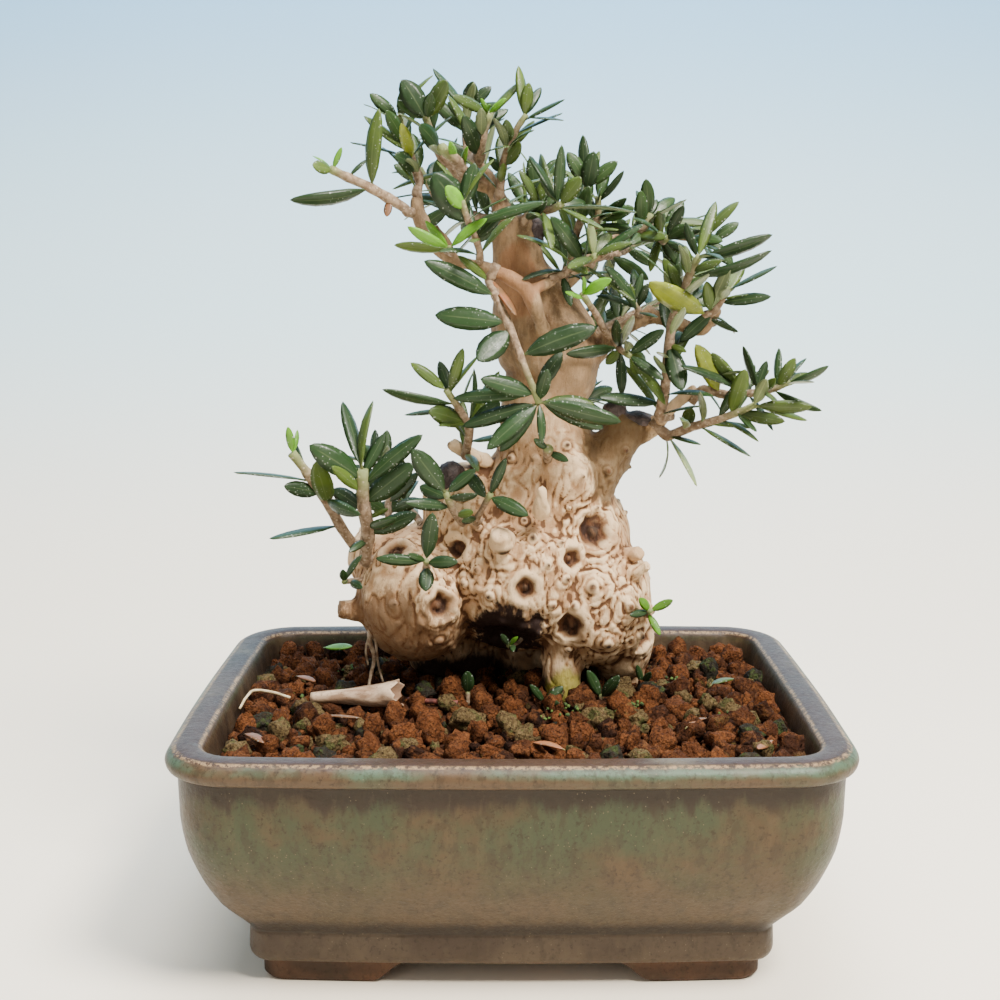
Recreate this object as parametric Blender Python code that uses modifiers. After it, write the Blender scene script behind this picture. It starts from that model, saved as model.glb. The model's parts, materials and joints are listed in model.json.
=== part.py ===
"""A small wild olive bonsai, standing in soil in its oblong glazed pot.

Lengths in the tables are millimetres; the meshes are metres. X runs to the right, Y away from
the viewer and Z up. The origin is on the table under the middle of the pot.
"""
import math
import random
from collections import namedtuple

import bmesh
import bpy
from mathutils import Matrix, Vector, geometry, noise
from mathutils.bvhtree import BVHTree

MM = 0.001

# Pot
RIM_WIDTH = 130.0
RIM_DEPTH = 100.0
POT_HEIGHT = 49.5
CORNER_RADIUS = 14.0
LEAST_CORNER_RADIUS = 4.5
LONG_SIDE_BOW = 1.2
SHORT_SIDE_BOW = 0.5
CORNER_STEPS = 4
LONG_STEPS = 4
SHORT_STEPS = 2
FLOOR_UNDERSIDE = 5.2
FLOOR_TOP = 10.5
ARCH_HEIGHT = 4.5
ARCH_HALF_WIDTH = 28.0
ARCH_HALF_DEPTH = 13.0
ARCH_SHOULDER = 8.0
DRAIN_X = 20.0
DRAIN_RADIUS = 4.5

# Soil
GRAIN_SPACING = 6.8
GRAIN_HEIGHT = 1.1
GRAIN_SEED = 11
SOIL_LEVEL = 44.6
SOIL_MOUND = 1.8
SOIL_EDGE_INSET = 8.4
SCREEN_SIZE = 14.0
SCREEN_THICKNESS = 0.8

# Clearance between pieces that touch, and the tree's mesh sizes
GAP = 0.3
REST_START = 6.0
HOLE_CLEARANCE = 0.7
PROBE_REACH = 2.0
STEM_SINK = 0.5
STEM_RISE = 1.2
TRUNK_VOXEL = 1.1
TRUNK_FACES = 1700
BLADE_THICKNESS = 0.8
BLADE_RINGS = ((0.3, 0.95), (0.7, 0.95))
ROOT_DEPTH = 0.6
LEAST_EDGES = (0.12, 0.06, 0.02)
FLAT_ANGLE = math.radians(1.0)
LEAST_BLADE_SLENDERNESS = 0.25
LEAF_TRIES = 14
SPARE_AROUND_LEAF = 0.25
LEAF_SEED = 26

TREE_AXIS = (5.0, 10.0)

# Wall profile of the pot from the foot's inner edge, down and out, up over the rim and down to
# the floor: how far inside the rim's outline each ring lies, and its height.
WALL_PROFILE = (
    (23.0, FLOOR_UNDERSIDE), (22.4, 0.0), (16.6, 0.0), (16.0, 0.9), (15.9, 4.5), (14.3, 5.2),
    (13.7, 7.0), (13.8, 10.6), (13.6, 12.0), (9.2, 18.2), (6.2, 23.0), (3.5, 29.5), (2.4, 36.0),
    (2.2, 44.9), (0.5, 45.7), (0.0, 47.2), (0.7, 48.6), (2.4, POT_HEIGHT), (5.4, POT_HEIGHT),
    (7.0, 48.6), (7.9, 44.5), (8.9, 34.0), (11.6, 25.5), (16.4, 16.5), (21.0, 11.8),
    (25.0, FLOOR_TOP),
)

# Rounded masses of the trunk: middle, then half sizes
TRUNK_LUMPS = (
    ((-20, 9, 67), (13, 15, 14.5)), ((-27, 12, 74), (8, 9, 8)), ((2, 12, 72), (18, 18, 18)),
    ((6, 12, 86), (14, 13, 13)), ((-9, 12, 84), (10, 12, 11)), ((18, 10, 66), (12.5, 14, 15)),
    ((24, 14, 56), (7.5, 10, 10)), ((17, 12, 78), (9, 11, 12)), ((-12, 22, 54), (12, 10, 14)),
    ((6, 24, 52), (12, 9, 14)), ((24, 16, 46), (6, 7, 8)), ((12, 3, 93), (6, 5, 6)),
)
ROOT_HOLLOW = ((-2, -3, 56.5), (7, 9, 6.5))

# Thick stems that the trunk's own mass takes in: points, each with its radius
TRUNK_STEMS = (
    ((7, 12, 90, 13), (7.7, 11, 97, 11.2), (6.5, 10, 103, 9.2), (6.5, 10, 109, 8.4),
     (8.5, 10, 114, 9.6), (8, 10, 119, 10.6), (5.6, 10, 125, 10.2), (3.4, 9, 131, 7.8),
     (1.6, 8.5, 136, 5.8), (1, 8, 140, 5), (0, 8, 146.5, 4.2)),
    ((11.5, 4, 66, 5.5), (11.2, 3.8, 56, 4.3), (11, 4.2, 48, 4.2), (11, 5, 40, 3.2)),
    ((13, 9, 86, 7), (20, 9, 96, 4.9), (25.5, 9, 105, 4.5)),
    ((-22, 9, 64.5, 4.5), (-30, 6.5, 64, 2.9), (-35, 5, 64.5, 2.2)),
    ((12, 11, 116, 5), (19.2, 8, 119.8, 2.6)),
    ((4, 13, 126, 5), (9, 14.5, 130.5, 2.8)),
    ((0, 9, 143, 3.5), (-2.6, 10, 149, 2.3)),
)

# Thin limbs joined on to the trunk, in the same form
LIMBS = (
    ((8, 3, 119, 2.0), (5.6, -2.2, 126.5, 1.4), (3.3, -2.8, 131.5, 1.7), (-1, -2.4, 134.6, 1.3),
     (-6, -1.4, 136.3, 1.4), (-12, -0.6, 138, 1.3), (-15.5, 0, 141, 1.4), (-18.5, 1.5, 146.5, 1.6),
     (-19, 2, 150, 1.1)),
    ((3.3, -2.8, 131.5, 1.2), (7, -0.5, 133, 1.1), (9.5, 1.5, 134, 0.9)),
    ((-11.8, -0.6, 138, 1.1), (-13, -2.5, 141, 1.1), (-15.2, -4.5, 144, 1.1)),
    ((-1, 9.5, 147, 2.0), (-4.7, 10, 154, 1.5), (-7.5, 9.6, 157.5, 1.3)),
    ((-3.9, 10, 152, 1.3), (-8, 7.5, 153, 1.1), (-11, 6, 153.2, 1.0)),
    ((7, 13.5, 129, 2.2), (14.8, 18, 135.8, 1.7), (22.3, 20, 141.7, 1.4), (30, 20, 144.2, 1.1)),
    ((18, 8.5, 119, 2.3), (22.1, 6, 123, 1.8), (28.1, 5, 125.9, 1.6), (32.9, 4, 125.1, 1.4),
     (38.7, 3, 123.7, 1.4), (41.9, 3, 128, 1.0)),
    ((27.6, 5, 125.7, 1.6), (29.2, 4, 128, 1.5)),
    ((24, 9, 101, 3.2), (29, 8.3, 102.6, 2.2), (33.5, 6, 107.3, 1.5), (38.3, 4, 111.6, 1.3)),
    ((-1.5, 0, 79.5, 2.6), (-2, -7.6, 83, 1.5)),
    ((20, 8, 74, 2.2), (27, 2, 77.5, 1.3)),
    ((-5, 9, 95, 2.0), (-12.3, 6.5, 99.6, 1.2)),
    ((9, 15, 105, 2.6), (11, 21, 108, 1.6)),
    ((-18, 20, 74, 2.4), (-21.5, 26, 78.5, 1.5)),
)

Knot = namedtuple("Knot", "x z radius height dip")
# Knots of old cut shoots on the front, by where they are seen: radius, swelling and crater depth
KNOTS = (
    Knot(-14.5, 67.5, 3.2, 1.6, 2.2), Knot(-24, 78, 2.8, 1.0, 1.8), Knot(-1.5, 80.5, 4.0, 1.2, 0),
    Knot(17, 82, 4.2, 1.4, 1.2), Knot(12.5, 77, 2.4, 1.0, 2.0), Knot(3, 71.5, 2.8, 0.7, 2.2),
    Knot(17, 71, 3.0, 1.6, 0), Knot(12.5, 63, 3.4, 1.6, 1.0), Knot(5.5, 62.5, 1.8, 1.6, 0),
    Knot(20, 59.5, 2.8, 1.4, 0), Knot(28, 58.5, 3.0, 1.4, 1.6), Knot(-11, 78.5, 2.6, 1.0, 1.2),
    Knot(-9, 72, 2.4, 1.4, 0), Knot(-4, 70, 2.4, 1.1, 0), Knot(14.5, 94, 1.4, 0.8, 0),
    Knot(20, 94.5, 2.2, 1.0, 0), Knot(-6.5, 75, 1.8, 1.0, 0), Knot(-6.5, 83, 2.2, 1.0, 0),
    Knot(-15, 60, 2.6, 1.0, 0), Knot(24, 67, 2.8, 1.3, 0), Knot(10, 80, 1.8, 0.8, 0),
)
EXTRA_KNOTS = 70
KNOT_SPACING = 3.6
KNOT_SEED = 5
BARK_ROUGHNESS = 0.5
BARK_SCALE = 0.22

Shoot = namedtuple("Shoot", "name base_radius tip_radius pairs route leaves")
# Each leafy shoot: radius at its base and tip; how many further pairs of leaves it bears by
# rule, with their length and width; its route; and single leaves, each as how far along the
# shoot it grows, where its tip is, how wide it looks from the front, and what it is: d dark,
# o olive green, b young and bright, y yellowing, p pale, x dry.
SHOOTS = (
    Shoot("far_left", 1.2, 0.7, None,
          ((-18, 2, 146), (-21.5, 0, 148), (-27.5, -3, 151.5), (-33, -6, 154), (-35, -7, 155)),
          ((0.55, -42.5, -10, 149, 1.9, "d"), (0.5, -25.5, -5, 166.5, 3.7, "o"),
           (0.78, -28, -4, 157, 1.2, "d"), (1, -32.5, -8, 159, 1.2, "b"), (1, -38, -10, 155.5, 3.1, "o"),
           (1, -38.5, -6, 157.5, 0.8, "b"), (0.3, -24.5, -3, 146, 1.9, "x"))),
    Shoot("top_left", 1.0, 0.6, (3, 9, 3),
          ((-17.5, 6, 149.5), (-18.5, 6, 153.5), (-20, 5, 157.5), (-21.5, 5, 162.5), (-22.5, 4, 166)),
          ((0.6, -29, 0, 165.5, 2.5, "o"), (0.4, -23, -1, 158, 3.7, "d"), (0.25, -24, 2, 155, 1.6, "o"),
           (0.5, -21.5, -2, 164, 2.9, "y"), (1, -21, 5, 168, 1.2, "o"))),
    Shoot("top_mid", 1.0, 0.6, (2, 9, 3),
          ((-12.5, 6.5, 154), (-14, 4, 158), (-16, 2, 163), (-17, 1, 165.5)),
          ((1, -21.5, 1, 172.5, 4.9, "d"), (1, -12.5, -3, 172, 4.1, "o"),
           (0.75, -10.5, 2, 172, 2.5, "b"), (0.5, -18, -4, 163.5, 4.3, "d"))),
    Shoot("top_tall", 1.2, 1.0, None,
          ((-7.5, 8, 157.5), (-6, 5, 161.5), (-4.5, 3, 166.5)),
          ((1, -6, 1, 169, 1.2, "b"), (1, -1, 1, 169, 1.2, "b"), (0.97, -11.5, -3, 169, 2.9, "o"),
           (0.15, -9.5, -1, 165.5, 4.1, "d"), (0.95, -4, -1, 167.5, 1.4, "b"))),
    Shoot("stub_front", 1.2, 1.1, None,
          ((-7.5, 5, 154), (-10.5, -1, 156.5), (-13.5, -6, 159)),
          ((0.6, -12, -8, 160, 1.9, "b"), (0.3, -8.5, -3, 159.5, 1.6, "b"))),
    Shoot("top_right", 1.0, 0.5, None,
          ((-3, 9, 148.5), (-2, 7, 154), (-1, 5, 158.5), (1, 3, 163), (3, 2, 166)),
          ((1, 3.5, 1, 172, 2.9, "o"), (1, 6, 5, 171.5, 1.9, "d"), (0.9, 10.5, -2, 168.5, 1.9, "d"),
           (0.62, -1, 1, 165, 2.9, "o"), (0.5, 4.5, -4, 162.5, 1.6, "d"), (0.4, 2, 2, 160.5, 3.7, "o"),
           (0.2, -1.5, 0, 156.5, 1.9, "o"), (0.3, -4.5, 4, 158, 2.1, "d"))),
    Shoot("top_back", 0.9, 0.5, (3, 9.5, 3.2),
          ((-7.5, 14, 156), (-9.5, 17, 162), (-8.5, 17, 169)),
          ((1, -4, 17, 173, 2.7, "d"), (1, -2, 12, 169, 1.9, "d"), (0.8, -13, 13, 169.5, 2.1, "d"))),
    Shoot("front_bright", 0.7, 0.5, None,
          ((-12.5, -1, 138.5), (-12, -5, 139.5), (-12, -7, 140)),
          ((1, -20, -10, 144, 1.9, "b"), (1, -4, -9, 146, 2.5, "b"), (0.7, -23, -5, 140.5, 1.6, "o"),
           (0.8, -17, -4, 145.5, 1.6, "b"))),
    Shoot("front_up", 0.8, 0.5, None,
          ((-6, -1, 136), (-6.5, -5, 140.5), (-8.5, -8, 145.5), (-9.5, -9, 149)),
          ((0.65, -15, -10, 154, 6.4, "d"), (0.85, -12.5, -12, 151.5, 3.5, "b"),
           (0.9, -7, -9, 156, 3.3, "d"), (0.35, -4, -6, 145.5, 3.3, "d"),
           (1, -14.5, -6, 156.5, 1.6, "o"))),
    Shoot("drop", 1.0, 0.6, None,
          ((-4.5, -1, 135), (-3, -6, 130.5), (0, -9, 124), (2.5, -11, 117.5), (5.5, -10, 110)),
          ((0.02, -16.5, -7, 137.5, 3.1, "d"), (0.05, -10.5, -4, 138.5, 2.1, "o"),
           (0.03, 1, -10, 127, 2.1, "x"), (0.42, -15, -7, 127, 4.9, "d"),
           (0.45, -6.5, -14, 118.5, 5.4, "d"), (0.66, 16.5, -13, 125, 5.6, "d"),
           (0.95, -6, -13, 115, 4.3, "d"), (1, -4.5, -15, 102, 4.1, "d"),
           (1, 21.5, -12, 106.5, 3.5, "d"), (1, 18.5, -6, 104.5, 4.1, "d"),
           (0.98, 7, -14, 117, 2.9, "d"), (0.93, 10, -8, 120, 3.1, "d"), (0.9, -11, -5, 111.5, 3.5, "d"),
           (1, 6, -12, 102, 2.1, "d"), (0.97, 16.5, -3, 109, 2.9, "d"))),
    Shoot("mid_left", 1.0, 0.6, None,
          ((-6.5, 3, 98.5), (-8.5, 1, 103.5), (-10.5, -2, 108), (-13, -4, 112)),
          ((0.8, -25.5, -8, 112.5, 1.6, "d"), (1, -20, -5, 117.5, 2.7, "o"),
           (0.95, -9.5, -6, 120.5, 2.5, "o"), (0.9, -14.5, 0, 117.5, 2.5, "d"),
           (0.55, -16.5, -6, 108, 4.3, "o"), (0.5, -7.5, 1, 116, 1.2, "d"))),
    Shoot("low_left2", 1.3, 0.9, None,
          ((-33.5, 8, 77), (-35.5, 4, 82.5), (-38, 1, 88.5), (-41.5, -1, 94.5), (-44.5, -2, 99)),
          ((0.72, -56, -5, 95.5, 1.2, "d"), (0.5, -39, -7, 98, 4.3, "o"),
           (0.62, -46, -4, 92.5, 3.3, "d"), (0.3, -49, -6, 82, 2.3, "d"), (1, -45, -3, 104.5, 1.9, "b"),
           (1, -43.5, 0, 103.5, 1.0, "b"), (0.55, -30, -9, 87.5, 2.9, "d"),
           (0.8, -44.5, 4, 100, 1.6, "d"))),
    Shoot("low_left1", 1.5, 1.1, None,
          ((-29.5, 4, 73.5), (-29.5, 0, 82), (-30, -3, 89), (-30, -5, 96)),
          ((0.9, -40, -9, 101.5, 5.8, "d"), (0.8, -35.5, -10, 97.5, 2.7, "o"),
           (0.85, -17.5, -8, 103.5, 4.1, "d"), (0.65, -19.5, -7, 97.5, 6.0, "d"),
           (0.95, -25.5, -2, 103, 2.7, "d"), (1, -28, 0, 109.5, 2.3, "o"),
           (0.98, -34.5, 3, 109, 3.1, "d"), (0.6, -38, 0, 91.5, 4.1, "d"),
           (0.4, -23, -7, 86.5, 2.1, "d"), (0.33, -19, -5, 87, 3.7, "d"), (0.5, -25, -2, 87.5, 1.2, "o"),
           (0.28, -33, -5, 79, 1.9, "d"))),
    Shoot("low_left3", 0.8, 0.6, (2, 9, 3),
          ((-26, 12, 83.5), (-26.5, 16, 85.5), (-25.5, 17, 88)),
          ((0.6, -19.5, 10, 93, 2.9, "d"),)),
    Shoot("low_mid1", 0.9, 0.6, None,
          ((-10, -3, 83), (-11.5, -6, 87.5), (-13, -9, 92)),
          ((1, -19.5, -11, 101, 4.5, "d"), (0.7, -21, -12, 90.5, 2.7, "d"), (1, -7, -11, 97, 2.7, "d"),
           (0.9, -6.5, -14, 92.5, 1.6, "d"), (0.85, -18.5, -4, 92.5, 3.3, "d"),
           (0.5, -7.5, -9, 88, 1.9, "o"))),
    Shoot("low_mid2", 0.8, 0.5, None,
          ((-7.5, -3, 85.5), (-5.5, -5, 88.5), (-4, -7, 91.5)),
          ((1, -1, -9, 99, 2.3, "d"), (0.9, 3.5, -10, 87.5, 3.5, "d"), (0.8, -9, -1, 95, 3.3, "d"),
           (0.3, -11, -8, 86, 1.6, "d"))),
    Shoot("low_sprout", 0.7, 0.5, None,
          ((-17, -5, 75), (-17, -8, 77), (-17, -10, 78.5)),
          ((0.9, -27, -11, 79, 2.5, "d"), (0.8, -10.5, -12, 78.5, 2.7, "d"),
           (1, -15.5, -12, 88.5, 3.9, "d"), (0.6, -17, -12, 72.5, 3.1, "d"),
           (1, -20.5, -14, 80.5, 1.6, "d"))),
    Shoot("left_tiny", 0.6, 0.5, None,
          ((-33, 4, 71), (-34, 1, 71.5), (-34.5, -1.5, 72)),
          ((1, -34.5, -3, 75, 1.9, "d"), (0.8, -34, -2, 72, 1.6, "d"), (0.5, -30.5, -3, 71, 1.9, "d"),
           (0.9, -30.5, -3, 78, 1.6, "d"))),
    Shoot("crown_front1", 1.0, 0.6, None,
          ((2, 4, 146.5), (4.5, 2, 147), (8, -0.5, 147.5), (10, -3, 148.5)),
          ((0.5, 1.5, -2, 155, 2.3, "o"), (0.9, 3.5, 1, 158, 2.1, "d"), (1, 5, 4, 161, 1.9, "o"),
           (1, 13.5, -6, 153.5, 3.5, "o"), (0.6, 24, -4, 147, 1.0, "d"), (0.8, 15, 3, 149, 2.9, "d"),
           (0.1, 7, -4, 149, 1.6, "d"))),
    Shoot("crown_mid", 0.9, 0.6, None,
          ((9.7, 1, 134.2), (12, 1.5, 136), (15, -1, 137.2), (16.5, -4.5, 138.5)),
          ((0.6, 7.5, -8, 146, 3.7, "d"), (1, 15, -7, 145.5, 1.9, "p"), (1, 23.5, -8, 141, 2.1, "o"),
           (0.4, 1, -3, 142.5, 1.9, "o"), (0.2, 1, -3, 133.5, 1.9, "d"), (0.3, 15, -7, 135, 2.3, "o"),
           (0.8, 20, 1, 143, 3.1, "o"), (0.1, 12, -2, 128.5, 2.1, "d"))),
    Shoot("crown_up1", 1.1, 0.6, (3, 10, 3.2),
          ((10.5, 14, 131.5), (12.5, 10, 139.5), (14.5, 7, 146.5), (15.5, 6, 152.5)),
          ((0.95, 16.5, 3, 159, 3.7, "d"), (1, 14.5, 7, 162.5, 2.3, "d"), (1, 18, 9, 159.5, 1.9, "o"))),
    Shoot("crown_up2", 1.0, 0.6, (3, 10, 3.2),
          ((14.5, 16.5, 137.5), (16.5, 14, 141), (18, 12, 146), (18, 11, 150.5)),
          ((1, 18.5, 7, 152, 3.1, "o"), (1, 21.5, 14, 153, 2.1, "d"), (0.9, 23, 8, 155.5, 1.2, "d"),
           (0.7, 23.5, 6, 150, 1.6, "d"), (0.6, 25.5, 6, 143.5, 1.9, "d"))),
    Shoot("crown_right1", 1.0, 0.6, (3, 9.5, 3),
          ((22.5, 19, 140.5), (25.5, 15, 142.5), (27.5, 12, 144), (29, 12, 147)),
          ((0.5, 31.5, 4, 142, 3.5, "o"), (0.3, 22.5, 14, 146, 3.1, "d"), (1, 30.5, 14, 150, 1.6, "d"))),
    Shoot("crown_right2", 0.9, 0.6, (2, 9, 3),
          ((30.5, 18, 143.5), (31.5, 12, 141.5), (32, 8, 142)),
          ((0.6, 30, 8, 147.5, 2.1, "o"), (1, 35, 5, 148.5, 2.5, "d"), (0.9, 38.5, 4, 143.5, 1.4, "d"),
           (0.8, 36.5, 6, 139, 1.9, "d"))),
    Shoot("riser", 1.2, 0.6, None,
          ((31, 5, 104), (31.5, 1, 112.5), (32, -1, 123), (33.5, -2, 129.5), (35.5, -4, 135.5),
           (37, -5, 138.5)),
          ((1, 51, -6, 142.5, 1.9, "d"), (1, 34, -5, 145, 1.6, "d"), (0.88, 51, -6, 139.5, 1.2, "d"),
           (0.85, 34.5, -2, 140.5, 2.3, "o"), (0.9, 41, -8, 137.5, 1.9, "o"),
           (0.5, 34, -6, 112, 4.3, "d"), (0.48, 35, -4, 119.5, 1.4, "o"),
           (0.12, 17.5, -3, 110.5, 3.5, "d"), (0.75, 31, -4, 137, 2.5, "o"),
           (0.6, 38, 2, 132.5, 2.1, "d"))),
    Shoot("crown_right3", 0.9, 0.6, None,
          ((39, 3, 124.5), (41, 1, 127.5), (42.5, -1, 130.5), (43.5, -2, 132)),
          ((1, 37.5, -4, 141.5, 1.6, "d"), (1, 52.5, -4, 136.5, 1.6, "d"),
           (0.6, 51.5, -4, 130.5, 2.9, "d"), (0.2, 22, -5, 136, 3.1, "y"),
           (0.3, 38.5, -4, 133.5, 2.7, "o"), (0.9, 42, 0, 135.5, 2.1, "d"), (0.4, 34, 4, 121, 2.9, "d"),
           (0.1, 46.5, 3, 123, 1.0, "d"), (0.7, 46.5, -6, 131, 1.2, "o"))),
    Shoot("crown_right5", 0.8, 0.5, None,
          ((26.5, 5, 125), (26, 3, 127.5), (24.5, 2, 129.5)),
          ((0.3, 18.5, -3, 136.5, 3.1, "d"), (1, 24, -1, 132.5, 1.4, "o"), (1, 22, 1, 131.5, 1.2, "o"),
           (0.6, 27.5, 0, 133, 1.9, "d"), (0.5, 17, 1, 130.5, 1.9, "d"), (0.9, 26.5, 2, 135, 2.1, "d"))),
    Shoot("crown_right6", 0.8, 0.5, (1, 9, 3),
          ((33.5, 4, 126), (34, 5, 129.5), (34, 6, 132.5)),
          ((0.9, 31, 5, 138, 2.5, "o"), (1, 34.5, 7, 139, 1.9, "d"), (0.5, 38, 9, 131.5, 1.9, "d"),
           (0.6, 30, 2, 132.5, 1.9, "d"))),
    Shoot("small_bright", 0.9, 0.6, None,
          ((19.5, 5, 122), (17, 0, 127), (14, -4, 131)),
          ((1, 19.5, -9, 134, 2.7, "b"), (0.9, 10.5, -8, 131.5, 1.6, "b"), (1, 14, -8, 134.5, 1.2, "b"))),
    Shoot("right_low", 0.8, 0.5, None,
          ((21, 6, 120.5), (22.5, 2, 119.5), (24, -1, 118.5)),
          ((0.3, 21, -3, 126, 1.9, "d"), (1, 30.5, -4, 114, 2.7, "d"), (0.5, 19.5, 4, 116.5, 2.3, "o"),
           (1, 27.5, 3, 115.5, 4.9, "o"), (0.2, 11, -2, 119, 2.5, "d"), (0.9, 30.5, -4, 124, 2.7, "d"),
           (0.8, 25, 6, 112.5, 2.1, "o"))),
    Shoot("fork_top", 1.0, 0.5, None,
          ((38, 3, 112), (44, 2, 110.5), (49.5, 0, 111), (53, -2, 112), (56, -3, 113.5)),
          ((0.55, 33.5, -6, 117, 2.9, "d"), (0.5, 40, -4, 119.5, 2.1, "o"),
           (0.65, 47, 1, 120.5, 1.4, "d"), (0.62, 52, 1, 117.5, 2.1, "d"),
           (0.7, 52.5, -6, 114.5, 2.1, "o"), (0.85, 56.5, -5, 118.5, 2.5, "o"),
           (0.85, 54.5, 2, 120, 1.6, "d"), (1, 63, -6, 117, 1.4, "d"), (0.8, 62, -6, 108, 1.4, "d"),
           (0.25, 37, -2, 121, 4.5, "y"), (1, 60, 1, 118, 1.2, "d"))),
    Shoot("fork_low", 1.2, 0.6, None,
          ((30.5, 7, 102.5), (33, 6, 101.5), (36, 4, 103), (39.5, 2, 104.5), (44.5, -1, 106.5),
           (49, -4, 109)),
          ((1, 59.5, -8, 109, 2.5, "o"), (0.8, 54.5, -7, 106, 2.5, "o"),
           (0.42, 48.5, -4, 98.5, 1.9, "o"), (0.1, 38, -2, 92, 1.9, "p"),
           (0.3, 37.5, 6, 107.5, 3.1, "o"), (0.45, 36.5, 4, 113.5, 1.4, "d"),
           (0.75, 47, 1, 120.5, 3.7, "o"))),
    Shoot("mid_stub", 1.0, 0.9, None,
          ((7, -1, 97), (7.5, -4, 99.5), (7.5, -5, 100.5)),
          ((0.8, 11.5, -7, 98, 1.9, "d"), (0.9, 4.5, -7, 102.5, 1.6, "d"))),
    Shoot("hole_sprout", 0.5, 0.4, None,
          ((-0.5, 2, 55), (-0.5, -2, 58.5)),
          ((1, -2, -4, 61.5, 1.4, "d"), (1, 1.5, -4, 61, 1.2, "b"), (0.7, 0.5, -5, 58, 1.6, "d"))),
    Shoot("right_sprout", 0.6, 0.5, None,
          ((27.5, 3, 63.5), (28.5, 0, 65), (29, -2, 66)),
          ((1, 26.5, -3, 69, 1.9, "b"), (1, 33.5, -3, 68.5, 1.9, "b"), (0.8, 24.5, -4, 65.5, 1.9, "d"),
           (0.6, 31, -3, 61, 1.6, "b"))),
    Shoot("soil_sprout_a", 0.5, 0.4, None,
          ((7.5, -4, 44.5), (7, -4, 47.5)),
          ((1, 4, -5, 51, 1.9, "d"), (1, 11, -3, 50, 2.1, "d"), (0.8, 10, -8, 48, 1.6, "d"))),
    Shoot("soil_sprout_b", 0.5, 0.4, None,
          ((19, -2, 44), (19, -2, 48)),
          ((1, 16, -3, 53.5, 2.7, "d"), (1, 22.5, -5, 53, 2.9, "d"))),
    Shoot("soil_sprout_c", 0.5, 0.4, None,
          ((28.5, 7, 45), (28.5, 7, 48)),
          ((1, 27, 6, 52.5, 1.6, "d"), (1, 30, 4, 51, 1.6, "d"))),
    Shoot("soil_sprout_d", 0.5, 0.4, None,
          ((-9, 0, 45), (-9, 0, 48)),
          ((1, -9, -2, 53, 3.1, "d"),)),
    Shoot("crown_far", 0.9, 0.5, (3, 9.5, 3.0),
          ((27, 22, 143.5), (35, 23, 142.5), (43.5, 22.5, 141.5)),
          ()),
    Shoot("back_left_up", 1.1, 0.6, (5, 10, 3.2),
          ((-8.5, 16, 143.5), (-15, 24, 150), (-19.5, 28, 157)),
          ()),
    Shoot("back_up", 1.1, 0.6, (5, 10, 3.2),
          ((-1, 18, 145), (-4.5, 27, 153), (-6.5, 30, 161)),
          ()),
    Shoot("back_right_up", 1.1, 0.6, (4, 9.5, 3.2),
          ((2, 20, 143.5), (5, 28, 149), (7, 32, 155)),
          ()),
    Shoot("back_high", 1.1, 0.6, (5, 10, 3.2),
          ((18, 21, 137.5), (24.5, 31, 139), (29.5, 38, 141.5)),
          ()),
    Shoot("back_right", 1.1, 0.6, (5, 10, 3.2),
          ((19.5, 20, 120.5), (31, 32, 127), (40, 36, 131)),
          ()),
    Shoot("back_mid", 1.1, 0.6, (5, 10, 3.2),
          ((11, 24, 122.5), (17, 35, 121.5), (23, 40, 124)),
          ()),
    Shoot("back_low", 1.0, 0.6, (4, 10, 3.4),
          ((11, 22, 109), (14.5, 31, 106), (17.5, 37, 104)),
          ()),
    Shoot("back_left_low", 1.0, 0.6, (4, 10, 3.4),
          ((-20, 26, 80), (-27, 32, 86), (-32, 35, 92)),
          ()),
)
SOIL_SHOOTS = ("soil_sprout_a", "soil_sprout_b", "soil_sprout_c", "soil_sprout_d")

# Dabs of dark wound paste, each of one or more lumps: about where, and half sizes
SEALS = {
    "wound_paste_stub": (((21.6, 8, 106.6), (2.3, 2.6, 2.3)), ((26.5, 8.6, 105.8), (4.2, 3.2, 1.5))),
    "wound_paste_shoulder": (((-12.5, 6, 93), (2.6, 3.0, 3.2)),),
    "wound_paste_top": (((5.6, 8, 143), (1.7, 2.6, 3.2)),),
}

# Rolled scrap of bark: the line down its middle, with the roll's radius at each point
BARK_CURL = ((-41, -4, 49.0, 1.4), (-34, -5, 49.6, 2.0), (-27, -6, 50.2, 3.0), (-23, -6.5, 50.8, 3.6))
BARK_THICKNESS = 0.8
DRY_STEM = ((-21.5, -2, 48.4, 0.6), (-16, -3.5, 48.6, 0.6), (-11, -4, 48.4, 0.6))


def clear_scene():
    for thing in list(bpy.data.objects):
        bpy.data.objects.remove(thing, do_unlink=True)


def collection(name):
    group = bpy.data.collections.new(name)
    bpy.context.scene.collection.children.link(group)
    return group


def material(name, colour, roughness):
    finish = bpy.data.materials.new(name)
    finish.use_nodes = True
    shader = finish.node_tree.nodes["Principled BSDF"]
    shader.inputs["Base Color"].default_value = (*colour, 1.0)
    shader.inputs["Roughness"].default_value = roughness
    finish.diffuse_color = (*colour, 1.0)
    return finish


def millimetres(*values):
    return Vector(values) * MM


def loose_object(name, mesh):
    """An object in the work collection, where it stays until it is used up or kept."""
    piece = bpy.data.objects.new(name, mesh)
    bpy.data.collections["workbench"].objects.link(piece)
    return piece


def evaluated_mesh(piece):
    graph = bpy.context.evaluated_depsgraph_get()
    graph.update()
    return bpy.data.meshes.new_from_object(piece.evaluated_get(graph), depsgraph=graph)


def settle(piece):
    """Apply the piece's modifiers."""
    mesh = evaluated_mesh(piece)
    piece.modifiers.clear()
    piece.data = mesh
    return piece


def discard(piece):
    bpy.data.objects.remove(piece, do_unlink=True)


def mesh_from_bmesh(name, shape):
    bmesh.ops.recalc_face_normals(shape, faces=shape.faces)
    mesh = bpy.data.meshes.new(name)
    shape.to_mesh(mesh)
    shape.free()
    return mesh


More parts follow.
